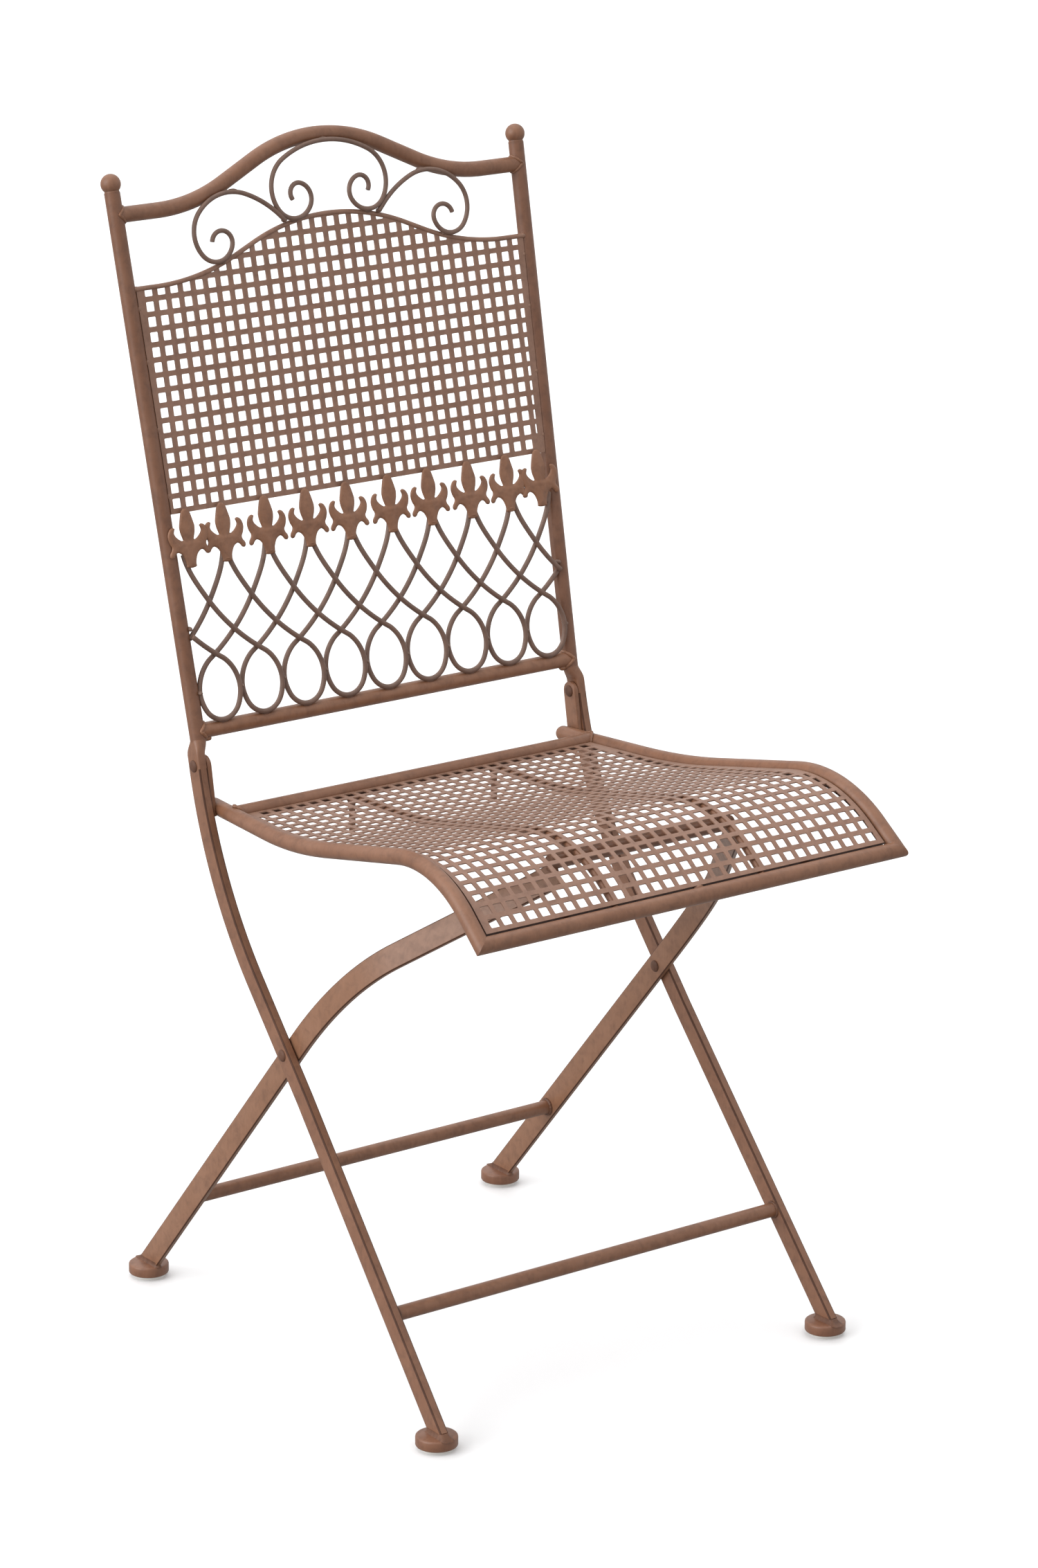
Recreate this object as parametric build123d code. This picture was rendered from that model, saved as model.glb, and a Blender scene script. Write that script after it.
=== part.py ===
from build123d import *
import math
import os

os.makedirs("parts", exist_ok=True)

# ---------------------------------------------------------------- driving dimensions (mm)
Y_SHIFT = 29.7            # moves the layout so that the chair's box is centred on Y = 0

TUBE_D = 13.0             # back frame and seat frame tube
STRETCHER_D = 12.0        # stretchers between the legs, and the sliding crossbar
BALL_D = 16.5             # finial ball on each upright
LEAN = math.degrees(math.atan(96.4 / 437.3))   # backrest lean from vertical, degrees

RAIL_Y, RAIL_Z = 124.8, 503.7    # bottom rail of the backrest
HALF_AT_RAIL = 189.1             # half spacing of the uprights at the bottom rail
TOP_S, HALF_AT_TOP = 447.8, 200.8   # half spacing of the uprights near their upper ends
POST_S = 439.0                   # upper end of the uprights along the leaning back
BALL_S = 445.8                   # finial height along the leaning back

UP_S, FLAT_S = -6.5, -15.0         # the upright's tube ends under the bottom rail and is flattened from there
CREST_END, CREST_TOP = 420.5, 481.4   # crest rail: flat ends and the apex of its hump polygon
SHEET_BOTTOM = 177.5             # lower edge of the perforated back sheet
SHEET_T = 1.5                    # perforated sheet thickness
SHEET_D = 3.35                   # the back sheet lies this far in front of the uprights' plane
PITCH, HOLE = 12.2, 8.1          # back perforation
SEAT_PITCH, SEAT_ROW, SEAT_HOLE = 12.0, 12.3, 8.1
EDGING_D = 4.0
SCROLL_D = 4.0
SCROLL_FRONT = 7.4               # scroll wires lie in front of the edging
LATTICE_W, LATTICE_T = 3.9, 3.4  # wire of the looped lattice: width in the plane of the back, and depth
LATTICE_FRONT = 5.2
LOOP_PITCH = 41.4
FLEUR_T = 2.2
FLEUR_FRONT = 8.05

LEG_W, LEG_T = 16.4, 8.0         # flattened front leg
RLEG_W, RLEG_T = 20.4, 5.0       # rear leg
FRONT_LEG_X = 192.5              # front leg above the crossing
FOOT_F = (198.0, -219.5)         # front foot centre
FOOT_R = (185.4, 218.6)          # rear foot centre
REAR_LEG_X = 185.4
PIVOT = (-5.0, 265.0)            # crossing rivet (y, z)
HINGE = (119.0, 477.5)           # seat hinge rivet (y, z)
BEND_Z = 343.5                   # where the rear leg's two straight lines would meet
BEND_LO, BEND_UP = 92.0, 54.0    # length of the bend below and above that point
BAR_HALF = 89.0                  # half length of the sliding crossbar
BAR_YZ = (-219.5, 463.2)
STRIP_END = (89.7, -221.0, 450.8)   # the rear leg's upper part aims at this point, under the crossbar's end

DISC_D, DISC_T = 34.0, 9.0       # foot disc
GLIDE_D, GLIDE_T = 27.0, 3.0     # plastic glide under the disc
RIVET_D = 6.0

SEAT_START_Y, SEAT_START_Z = 118.0, 441.4
SEAT_TIP = (-288.5, 436.3)       # front rail axis
SEAT_HALF_REAR, SEAT_HALF_FRONT = 177.65, 204.7
SEAT_V1, SEAT_X1 = (-24.6, 445.3), 195.3    # seat profile polygon, and the half width at its corners
SEAT_V2, SEAT_X2 = (-224.0, 487.1), 200.0
SEAT_R1, SEAT_R2 = 470.0, 115.0
REAR_RAIL_YZ = (83.2, 443.2)
ROD_X, ROD_D = 72.0, 5.5         # guide rods under the seat


# ---------------------------------------------------------------- helpers
def P(x, y, z):
    return Vector(x, y + Y_SHIFT, z)


def rod(p, q, d):
    v = q - p
    return extrude(Plane(origin=p, z_dir=v) * Circle(d / 2), amount=v.length)


def save(name, shape):
    shape.label = name
    export_step(shape, f"parts/{name}.step")
    print(name, round(shape.volume, 1), "valid" if shape.is_valid else "INVALID", len(shape.solids()), flush=True)


def solid(shape):
    s = shape.solids()
    return s[0] if len(s) == 1 else Compound(children=list(s))


a = math.radians(LEAN)
BACK = Plane(origin=P(0, RAIL_Y, RAIL_Z), x_dir=(1, 0, 0), z_dir=(0, -math.cos(a), math.sin(a)))


def B(x, s, d=0.0):
    return BACK.from_local_coords((x, s, d))


def half(s):
    return HALF_AT_RAIL + (HALF_AT_TOP - HALF_AT_RAIL) * s / TOP_S


def wire_path(plane, start, heading, segs):
    # chain of tangent arcs in a plane: (signed radius, degrees); positive turns left
    edges = []
    x, y = start
    h = math.radians(heading)
    for r, deg in segs:
        s = 1 if r > 0 else -1
        rr = abs(r)
        t = math.radians(deg)
        cx, cy = x - s * rr * math.sin(h), y + s * rr * math.cos(h)

        def at(u):
            hh = h + s * u
            return (cx + s * rr * math.sin(hh), cy - s * rr * math.cos(hh))
        edges.append(ThreePointArc(at(0), at(t / 2), at(t)))
        x, y = at(t)
        h += s * t
    return edges, (x, y), math.degrees(h)


def mirror_x(shape):
    return mirror(shape, about=Plane.YZ)


# ---------------------------------------------------------------- backrest frame
upright = {}
finial = {}
for side, sg in (("left", -1), ("right", 1)):
    upright[side] = rod(B(sg * half(UP_S), UP_S), B(sg * half(POST_S), POST_S), TUBE_D)
    ball = Pos(B(sg * half(BALL_S), BALL_S)) * Sphere(BALL_D / 2)
    neck = rod(B(sg * half(POST_S), POST_S), B(sg * half(POST_S + 1.6), POST_S + 1.6), TUBE_D - 2.2)
    ball = ball - rod(B(sg * half(POST_S - 11), POST_S - 11), B(sg * half(POST_S + 1), POST_S + 1), 40)
    finial[side] = ball + neck

crest_line = FilletPolyline((-199, CREST_END), (-126.9, CREST_END), (0, CREST_TOP), (126.9, CREST_END), (199, CREST_END),
                            radius=[150, 143.8, 150])
crest_path = BACK * crest_line
crest = sweep(Plane(origin=crest_path @ 0, z_dir=crest_path % 0) * Circle(TUBE_D / 2), path=crest_path)
crest = crest - upright["left"] - upright["right"]

bottom_rail = rod(B(-half(0.5), 0.5), B(half(0.5), 0.5), TUBE_D) - upright["left"] - upright["right"]

# ---------------------------------------------------------------- perforated back sheet
def top_line(drop, x_end):
    return FilletPolyline((-x_end, 360.3 - drop), (-131.6, 360.3 - drop), (0, 417.9 - drop), (131.6, 360.3 - drop), (x_end, 360.3 - drop),
                          radius=[200, 188, 200])


def top_s(x):
    # height of the edging's centre line at x
    x = abs(x)
    if x < 75.3:
        return 400.7 - (188 - math.sqrt(188 ** 2 - x ** 2))
    if x < 93.3:
        return 417.9 - 0.4377 * x
    if x < 173.4:
        return 360.3 + (200 - math.sqrt(200 ** 2 - (173.4 - x) ** 2))
    return 360.3


edge_in = 5.98
xb, xt = half(SHEET_BOTTOM) - edge_in, half(358) - edge_in
tl = top_line(2.2, xt)
outline = Wire(list(tl.edges()) + [Edge.make_line((xt, 358.1), (xb, SHEET_BOTTOM)), Edge.make_line((xb, SHEET_BOTTOM), (-xb, SHEET_BOTTOM)),
                                   Edge.make_line((-xb, SHEET_BOTTOM), (-xt, 358.1))])
inner, notches = [], []
ncol = 15
for i in range(-ncol, ncol + 1):
    cx = i * PITCH
    for j in range(0, 18):
        cs = SHEET_BOTTOM + 4.3 + HOLE / 2 + j * (PITCH + 0.05)
        x0, x1 = cx - HOLE / 2, cx + HOLE / 2
        s0, s1 = cs - HOLE / 2, cs + HOLE / 2
        lim = half(s0) - edge_in - 1.6
        x0, x1 = max(x0, -lim), min(x1, lim)
        if x1 - x0 < 2.5:
            continue
        top = min(top_s(x0), top_s(x1), top_s(cx)) - 2.2
        if s1 < top - 0.8:
            inner.append(Wire.make_polygon([(x0, s0, 0), (x1, s0, 0), (x1, s1, 0), (x0, s1, 0)], close=True))
        elif s0 < top - 2.0:
            notches.append(Pos((x0 + x1) / 2, s0 + 7.5) * Box(x1 - x0, 15, 20))
sheet_face = Face(outline, inner)
back_sheet = extrude(sheet_face, amount=SHEET_T, dir=(0, 0, 1))
back_sheet = back_sheet - notches
back_sheet = BACK * (Pos(0, 0, SHEET_D - SHEET_T / 2) * back_sheet)
back_sheet = solid(back_sheet)

ep = BACK * (Pos(0, 0, SHEET_D) * top_line(0, half(360) - 4))
edging = sweep(Plane(origin=ep @ 0, z_dir=ep % 0) * Circle(EDGING_D / 2), path=ep)
edging = edging - upright["left"] - upright["right"]

# ---------------------------------------------------------------- scrolls
def swept_wire(edges, front, dia):
    w = BACK * (Pos(0, 0, front) * Wire(edges))
    return sweep(Plane(origin=w @ 0, z_dir=w % 0) * Circle(dia / 2), path=w)


half_segs = [(-84.37, 29.99), (-28.92, 93.86), (-18.34, 114.91), (-13.13, 102.86), (-8.3, 141.57)]
right_half, _, _ = wire_path(None, (0, 461.2), 0, half_segs)
left_half = [e.mirror(Plane.YZ) for e in right_half]
c_right = swept_wire(right_half, SCROLL_FRONT, SCROLL_D)
c_left = mirror_x(c_right)


def shifted(shape, dx, ds):
    # moved in the plane of the back
    return Pos(B(dx, ds) - B(0, 0)) * shape


# the scrolls sit a little to the right of the middle
scroll_center = shifted(c_right + c_left, 2.5, -1.0)

side_edges, _, _ = wire_path(None, (49.9, 403.1), 46.5, [(-90, 24.5), (-42.0, 69.0), (-26.6, 82.0), (-16.8, 125.0), (-9.7, 184)])
scroll_center = solid(scroll_center - crest - edging)
side_wire = swept_wire(side_edges, SCROLL_FRONT, SCROLL_D)
scroll_right = solid(shifted(side_wire, 2.5, -2.0) - scroll_center - crest - edging)
scroll_left = solid(shifted(mirror_x(side_wire), 1.5, 0.0) - scroll_center - crest - edging)

# ---------------------------------------------------------------- looped wire lattice
def strip(edges):
    return trace(Wire(edges), LATTICE_W)


arm_segs = [(17.07, 66.3), (33.24, 72.75), (16.29, 7.95), (-157.98, 35.45), (-60.0, 12.0)]
lattice = None
x_lim = half(60) - TUBE_D / 2 + 2.4
strips = []
for k in range(-4, 5):
    x0 = k * LOOP_PITCH * 0.996
    for sg in (1, -1):
        e, end, h = wire_path(None, (0, 6.7), 0, arm_segs)
        w = Wire(e)
        if sg < 0:
            w = w.mirror(Plane.YZ)
        strips.append(Pos(x0, 0) * trace(w, LATTICE_W))
# the two short end wires that start on the uprights
for sg in (1, -1):
    e, end, h = wire_path(None, (0, 6.7), 0, arm_segs)
    w = Wire(e)
    if sg > 0:
        w = w.mirror(Plane.YZ)
    strips.append(Pos(-sg * 5 * LOOP_PITCH * 0.996, 0) * trace(w, LATTICE_W))
flat = strips[0]
for s in strips[1:]:
    flat = flat + s
clip_pts = [(-(half(0) - 4.2), 0), (half(0) - 4.2, 0), (half(150) - 4.2, 150), (-(half(150) - 4.2), 150)]
flat = flat & make_face(Polyline(*clip_pts, close=True))
lattice = BACK * (Pos(0, 0, LATTICE_FRONT - LATTICE_T / 2) * extrude(flat, amount=LATTICE_T))
lattice = lattice - upright["left"] - upright["right"] - bottom_rail
lattice = solid(lattice)

# ---------------------------------------------------------------- fleur-de-lis row
FLEUR = [(0, 181.0), (2.4, 180.2), (4.3, 177.6), (5.8, 172.6), (6.9, 168.2), (7.2, 165.4), (6.7, 161.4), (5.6, 157.8), (4.9, 155.6), (6.6, 155.4),
         (9.4, 157.2), (11.9, 159.8), (12.9, 162.2), (12.4, 164.4), (11.7, 165.9), (13.7, 167.0), (16.4, 165.8), (18.4, 162.6), (18.9, 158.8),
         (17.9, 154.6), (16.3, 151.4), (16.8, 148.8), (18.6, 146.2), (19.0, 143.8), (17.6, 142.2), (15.4, 142.8), (13.8, 145.0), (11.6, 146.3),
         (8.8, 145.2), (6.6, 142.6), (5.0, 138.6), (4.6, 135.6), (4.4, 133.4), (0, 132.6)]
FLEUR_X = [-177.5, -142.6, -100.9, -60.4, -20.2, 21.8, 62.0, 103.2, 142.8, 175.5]
fpts = FLEUR + [(-x, s) for x, s in reversed(FLEUR[1:-1])]
ffaces = None
for x in FLEUR_X:
    f = Pos(x, 0) * make_face(Polyline(*fpts, close=True))
    ffaces = f if ffaces is None else ffaces + f
fleurs = BACK * (Pos(0, 0, FLEUR_FRONT - FLEUR_T / 2) * extrude(ffaces, amount=FLEUR_T))
fleurs = solid(fleurs)

# ---------------------------------------------------------------- front legs
def leg_pt(s):
    v = B(0, s)
    return (v.Y, v.Z)


top_yz = leg_pt(FLAT_S)
dirY, dirZ = math.sin(a), math.cos(a)
m = (PIVOT[0] + Y_SHIFT, PIVOT[1])
foot_leg = (FOOT_F[1] - 4.0 + Y_SHIFT, 12.0)
lower_dir = ((foot_leg[0] - m[0]), (foot_leg[1] - m[1]))
# vertex where the upright line meets the straight leg line
t = None
ax_, az_ = top_yz
den = dirY * lower_dir[1] - dirZ * lower_dir[0]
t = ((m[0] - ax_) * lower_dir[1] - (m[1] - az_) * lower_dir[0]) / den
vert = (ax_ + dirY * t, az_ + dirZ * t)
LEG_PLANE = Plane(origin=(0, 0, 0), x_dir=(0, 1, 0), z_dir=(1, 0, 0))     # local (y, z)
low_z = 232.0
low_pt = (m[0] + lower_dir[0] * (m[1] - low_z) / (m[1] - foot_leg[1]), low_z)
leg_line = FilletPolyline(top_yz, vert, low_pt, radius=365)
leg_flat = trace(leg_line, LEG_W)
front_leg = {}
pin_hole = RIVET_D / 2
upper = Pos(FRONT_LEG_X - LEG_T / 2, 0, 0) * extrude(LEG_PLANE * leg_flat, amount=LEG_T)
if abs(upper.bounding_box().min.X - (FRONT_LEG_X - LEG_T / 2)) > 0.1:
    raise ValueError("front leg extrusion went the wrong way")
# straight lower part, splayed outward to the foot
p_hi = Vector(FRONT_LEG_X, m[0] + lower_dir[0] * (m[1] - low_z - 6) / (m[1] - foot_leg[1]), low_z + 6)
p_lo = Vector(FOOT_F[0] + 0.1, foot_leg[0] + lower_dir[0] * 0.04, foot_leg[1] + lower_dir[1] * 0.04)
d_lo = (p_lo - p_hi).normalized()
x_ax = Vector(1, 0, 0) - d_lo * d_lo.dot(Vector(1, 0, 0))
lower = extrude(Plane(origin=p_hi, x_dir=x_ax, z_dir=d_lo) * Rectangle(LEG_T, LEG_W), amount=(p_lo - p_hi).length)
lower = lower - Pos(FOOT_F[0], FOOT_F[1] + Y_SHIFT, 12.0 - 25) * Box(120, 120, 50)
# flattening transition under the bottom rail
c_pl = Plane(origin=B(half(UP_S), UP_S), x_dir=(1, 0, 0), z_dir=-(B(half(UP_S), UP_S) - B(half(FLAT_S), FLAT_S)))
o2 = B(0, FLAT_S)
r_pl = Plane(origin=Vector(FRONT_LEG_X, o2.Y, o2.Z), x_dir=(1, 0, 0), z_dir=Vector(0, -dirY, -dirZ))
trans = loft(Sketch() + [c_pl * Circle(TUBE_D / 2), r_pl * RectangleRounded(LEG_T, LEG_W, 2.2)])
fl = upper + lower
holes = [Pos(FRONT_LEG_X, m[0], m[1]) * Rot(0, 90, 0) * Cylinder(pin_hole, 30),
         Pos(FRONT_LEG_X, HINGE[0] + Y_SHIFT, HINGE[1]) * Rot(0, 90, 0) * Cylinder(pin_hole, 30)]
fl = fl - holes[0] - holes[1]
front_leg["right"] = solid(fl + trans)
front_leg["left"] = solid(mirror_x(front_leg["right"]))

# front stretcher between the legs' inner faces
fs_z = 90.6
fs_y = m[0] + lower_dir[0] * (m[1] - fs_z) / (m[1] - foot_leg[1])
front_stretcher = rod(Vector(-197, fs_y, fs_z), Vector(197, fs_y, fs_z), STRETCHER_D) - front_leg["left"] - front_leg["right"]
front_stretcher = max(front_stretcher.solids(), key=lambda s: s.volume)


# ---------------------------------------------------------------- feet
def foot(x, y):
    disc = Pos(x, y + Y_SHIFT, GLIDE_T + DISC_T / 2) * Cylinder(DISC_D / 2, DISC_T)
    disc = fillet(disc.edges().filter_by(GeomType.CIRCLE), 1.0)
    glide = Pos(x, y + Y_SHIFT, GLIDE_T / 2) * Cylinder(GLIDE_D / 2, GLIDE_T)
    glide = chamfer(glide.edges().group_by(Axis.Z)[0], 0.8)
    return solid(disc), solid(glide)


ff, fg, rf, rg = {}, {}, {}, {}
for side, sg in (("left", -1), ("right", 1)):
    ff[side], fg[side] = foot(sg * FOOT_F[0], FOOT_F[1])
    rf[side], rg[side] = foot(sg * FOOT_R[0], FOOT_R[1])


# ---------------------------------------------------------------- rivets
def rivet(x0, x1, y, z):
    # shank from x0 to x1 with a rounded head on each end
    hh = 2.1
    out = Pos((x0 + x1) / 2, y, z) * Rot(0, 90, 0) * Cylinder(RIVET_D / 2, x1 - x0)
    for x, sg in ((x0, -1), (x1, 1)):
        head = Rot(0, 90 * sg, 0) * Pos(0, 0, hh / 2) * Cylinder(5.0, hh)
        head = fillet(head.faces().sort_by(Axis.X)[-1 if sg > 0 else 0].edges(), 1.7)
        out = out + Pos(x, y, z) * head
    return out


PLATE_T = 4.0
plate_out = FRONT_LEG_X - LEG_T / 2 - 0.3
plate_in = plate_out - PLATE_T
hr = rivet(plate_in - 0.15, FRONT_LEG_X + LEG_T / 2, HINGE[0] + Y_SHIFT, HINGE[1])
hl = rivet(-(FRONT_LEG_X + LEG_T / 2), -(plate_in - 0.15), HINGE[0] + Y_SHIFT, HINGE[1])
hinge_rivets = Compound(children=[solid(hl), solid(hr)])
cr = rivet(REAR_LEG_X - RLEG_T / 2 - 0.15, FRONT_LEG_X + LEG_T / 2, m[0], m[1])
cl = rivet(-(FRONT_LEG_X + LEG_T / 2), -(REAR_LEG_X - RLEG_T / 2 - 0.15), m[0], m[1])
cross_rivets = Compound(children=[solid(cl), solid(cr)])

# ---------------------------------------------------------------- rear legs
rl_dir = Vector(0, (m[0]) - (FOOT_R[1] - 1.0 + Y_SHIFT), m[1] - 12.0).normalized()
bend = Vector(REAR_LEG_X, m[0] + rl_dir.Y * ((BEND_Z - m[1]) / rl_dir.Z), BEND_Z)
low = Vector(REAR_LEG_X, m[0] - rl_dir.Y * ((m[1] - 4) / rl_dir.Z), 4.0)
up_dir = (P(*STRIP_END) - bend).normalized()
bar_end = P(*STRIP_END) + up_dir * 6.0
wide_lo = Vector(-1, 0, 0).cross(rl_dir).normalized()
wide_up = (wide_lo - up_dir * up_dir.dot(wide_lo)).normalized()


def section(p, d, w, width):
    n = d.cross(w).normalized()
    h1, h2 = width / 2, RLEG_T / 2
    return Wire.make_polygon([p + w * h1 + n * h2, p - w * h1 + n * h2, p - w * h1 - n * h2, p + w * h1 - n * h2], close=True)


secs = [section(low, rl_dir, wide_lo, RLEG_W), section(bend - rl_dir * BEND_LO, rl_dir, wide_lo, RLEG_W)]
N = 10
for i in range(1, N):
    f = i / N
    q0, q1, q2 = bend - rl_dir * BEND_LO, bend, bend + up_dir * BEND_UP
    p = q0 * ((1 - f) ** 2) + q1 * (2 * f * (1 - f)) + q2 * (f ** 2)
    d = (rl_dir * (1 - f) + up_dir * f).normalized()
    w = (wide_lo * (1 - f) + wide_up * f)
    w = (w - d * d.dot(w)).normalized()
    secs.append(section(p, d, w, RLEG_W))
secs.append(section(bend + up_dir * BEND_UP, up_dir, wide_up, RLEG_W))
secs.append(section(bar_end, up_dir, wide_up, RLEG_W))
rear = Solid.make_loft(secs, ruled=True)
rear = rear - Pos(FOOT_R[0], FOOT_R[1] + Y_SHIFT, 12.0 - 25) * Box(120, 120, 50)
rear = rear - Pos(REAR_LEG_X, m[0], m[1]) * Rot(0, 90, 0) * Cylinder(RIVET_D / 2 + 0.05, 30)
crossbar = rod(P(-BAR_HALF, *BAR_YZ), P(BAR_HALF, *BAR_YZ), STRETCHER_D)
rear = rear - crossbar
rear_leg = {}
rear_leg["right"] = max(rear.solids(), key=lambda s: s.volume)
rear_leg["left"] = solid(mirror_x(rear_leg["right"]))
rs_z = 93.5
rs_y = m[0] - rl_dir.Y * ((m[1] - rs_z) / rl_dir.Z)
rear_stretcher = rod(Vector(-(REAR_LEG_X - RLEG_T / 2), rs_y, rs_z), Vector(REAR_LEG_X - RLEG_T / 2, rs_y, rs_z), STRETCHER_D)

# ---------------------------------------------------------------- seat
# side rail: S-curve in side view, bent outwards near its rear end in plan
K = P(SEAT_HALF_FRONT, *SEAT_TIP)
tip_ext = K + (K - P(SEAT_X2, *SEAT_V2)).normalized() * 14
rp = FilletPolyline(P(SEAT_HALF_REAR, SEAT_START_Y, SEAT_START_Z), P(SEAT_X1, *SEAT_V1), P(SEAT_X2, *SEAT_V2), tip_ext, radius=[SEAT_R1, SEAT_R2])
rail_r = sweep(Plane(origin=rp @ 0, z_dir=rp % 0) * Circle(TUBE_D / 2), path=rp)
b_vec = (rp % 1) * -1
a_vec = Vector(-1, 0, 0)
n_mitre = (a_vec - b_vec).normalized()
mitre = Plane(origin=K, z_dir=n_mitre)
rail_r = split(rail_r, bisect_by=mitre, keep=Keep.BOTTOM)
front_rail = rod(P(-SEAT_HALF_FRONT - 14, *SEAT_TIP), P(SEAT_HALF_FRONT + 14, *SEAT_TIP), TUBE_D)
front_rail = split(front_rail, bisect_by=mitre, keep=Keep.TOP)
front_rail = split(front_rail, bisect_by=Plane(origin=P(-SEAT_HALF_FRONT, *SEAT_TIP), z_dir=Vector(-n_mitre.X, n_mitre.Y, n_mitre.Z)), keep=Keep.TOP)

# hinge plate welded to the outer side of the rail's rear end
pd = Vector(0, -0.17, -0.985).normalized()
pl_o = P((plate_in + plate_out) / 2, *HINGE)
plate_pl = Plane(origin=P(plate_in, *HINGE), x_dir=(0, pd.Z * -1, pd.Y), z_dir=(1, 0, 0))
ph = Vector(0, HINGE[0] + Y_SHIFT, HINGE[1])
wv = Vector(0, -pd.Z, pd.Y)
prof = []
c0 = ph
e0 = ph + pd * 43
arc_top = [ph + wv * 8, ph - pd * 8, ph - wv * 8]
pw = Wire([Edge.make_three_point_arc(*arc_top), Edge.make_line(ph - wv * 8, e0 - wv * 8), Edge.make_line(e0 - wv * 8, e0 + wv * 8), Edge.make_line(e0 + wv * 8, ph + wv * 8)])
plate = extrude(Face(pw), amount=PLATE_T, dir=(1, 0, 0))
plate = Pos(plate_in, 0, 0) * plate
plate = plate - Pos(plate_in, HINGE[0] + Y_SHIFT, HINGE[1]) * Rot(0, 90, 0) * Cylinder(RIVET_D / 2 + 0.05, 30)
hinge_plate = {"right": solid(plate), "left": solid(mirror_x(plate))}
rail_r = rail_r - plate
seat_rail = {"right": max(rail_r.solids(), key=lambda s: s.volume)}
seat_rail["left"] = solid(mirror_x(seat_rail["right"]))

rear_rail = rod(P(-178.6, *REAR_RAIL_YZ), P(178.6, *REAR_RAIL_YZ), TUBE_D) - seat_rail["left"] - seat_rail["right"]
rear_rail = max(rear_rail.solids(), key=lambda s: s.volume)

# perforated seat sheet: the rails' profile extruded across, trimmed to the plan between the rails
YZ = Plane(origin=(0, Y_SHIFT, 0), x_dir=(0, 1, 0), z_dir=(1, 0, 0))
SHEET_UP = 1.0


def seat_line(up, y_start, past):
    # the rails' profile polygon moved along its normals by `up`
    z_start = SEAT_START_Z + (SEAT_V1[1] - SEAT_START_Z) * (SEAT_START_Y - y_start) / (SEAT_START_Y - SEAT_V1[0])
    poly = [Vector(y_start, z_start), Vector(*SEAT_V1), Vector(*SEAT_V2), Vector(*SEAT_TIP)]
    ds = [(poly[i + 1] - poly[i]).normalized() for i in range(3)]
    ns = [Vector(d.Y, -d.X) for d in ds]
    poly[3] = poly[3] + ds[2] * past
    out = [poly[0] + ns[0] * up]
    for i in (1, 2):
        out.append(poly[i] + (ns[i - 1] + ns[i]) * (up / (1 + ns[i - 1].dot(ns[i]))))
    out.append(poly[3] + ns[2] * up)
    return [(v.X, v.Y) for v in out]


pts = seat_line(SHEET_UP, 90.0, 4.0)
prof_line = FilletPolyline(*pts, radius=[SEAT_R1 - SHEET_UP, SEAT_R2 + SHEET_UP])
prof_face = trace(prof_line, SHEET_T)
seat_sheet = Pos(-230, 0, 0) * extrude(YZ * prof_face, amount=460)
gap = TUBE_D / 2 + 0.25
plan = [(rp @ (k / 40)) for k in range(41)]
plan = [(v.X - gap, v.Y) for v in plan]
plan_face = make_face(Polyline(*plan, *[(-x, y) for x, y in reversed(plan)], close=True))
seat_sheet = seat_sheet & extrude(Pos(0, 0, 350) * plan_face, amount=200)
seat_sheet = seat_sheet - rod(P(-230, *SEAT_TIP), P(230, *SEAT_TIP), TUBE_D + 3.2) - rod(P(-230, *REAR_RAIL_YZ), P(230, *REAR_RAIL_YZ), TUBE_D + 0.1)
seat_sheet = max(seat_sheet.solids(), key=lambda s: s.volume)
PERFORATE = True
if PERFORATE:
    def plan_half(yy):
        # half width of the sheet at yy
        for (x0, y0), (x1, y1) in zip(plan, plan[1:]):
            if y1 <= yy + Y_SHIFT <= y0:
                return x0 + (x1 - x0) * (y0 - yy - Y_SHIFT) / (y0 - y1)
        return plan[-1][0]
    # rows at equal arc length along the profile
    L = prof_line.length
    rows = []
    n_rows = 32
    for r in range(n_rows):
        s = L - 20.5 - r * SEAT_ROW
        u = s / L
        p0, p1 = prof_line @ ((s - SEAT_HOLE / 2) / L), prof_line @ ((s + SEAT_HOLE / 2) / L)
        if p0.X > 74 or s < 10:
            break
        rows.append((min(p0.X, p1.X), max(p0.X, p1.X), min(p0.Y, p1.Y), max(p0.Y, p1.Y)))
    tools = []
    for (y0, y1, z0, z1) in rows:
        lim = plan_half(y1) - 5.0
        for i in range(-16, 16):
            cx = (i + 0.5) * SEAT_PITCH + 1.3
            x0, x1 = max(cx - SEAT_HOLE / 2, -lim), min(cx + SEAT_HOLE / 2, lim)
            if x1 - x0 < 4.0:
                continue
            tools.append(Pos((x0 + x1) / 2, (y0 + y1) / 2 + Y_SHIFT, (z0 + z1) / 2) * Box(x1 - x0, y1 - y0, 40))
    print("seat holes", len(tools), "rows", len(rows), flush=True)
    seat_sheet = seat_sheet - tools
    seat_sheet = max(seat_sheet.solids(), key=lambda s: s.volume)

# guide rods: follow the sheet's underside and turn down behind as stops for the crossbar
DROP = -(SHEET_T / 2 + ROD_D / 2 + 0.05) + SHEET_UP
g = seat_line(DROP, REAR_RAIL_YZ[0] - TUBE_D / 2 - ROD_D / 2 - 0.05, 3.0)
g_line = FilletPolyline((g[0][0], 412.0), g[0], g[1], g[2], g[3], radius=[7.0, SEAT_R1 - DROP, SEAT_R2 + DROP])
gp = YZ * g_line
rod_r = Pos(ROD_X, 0, 0) * sweep(Plane(origin=gp @ 0, z_dir=gp % 0) * Circle(ROD_D / 2), path=gp)
rod_r = rod_r - rod(P(-230, *SEAT_TIP), P(230, *SEAT_TIP), TUBE_D)
guide = {"right": max(rod_r.solids(), key=lambda s: s.volume)}
guide["left"] = solid(mirror_x(guide["right"]))

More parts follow.
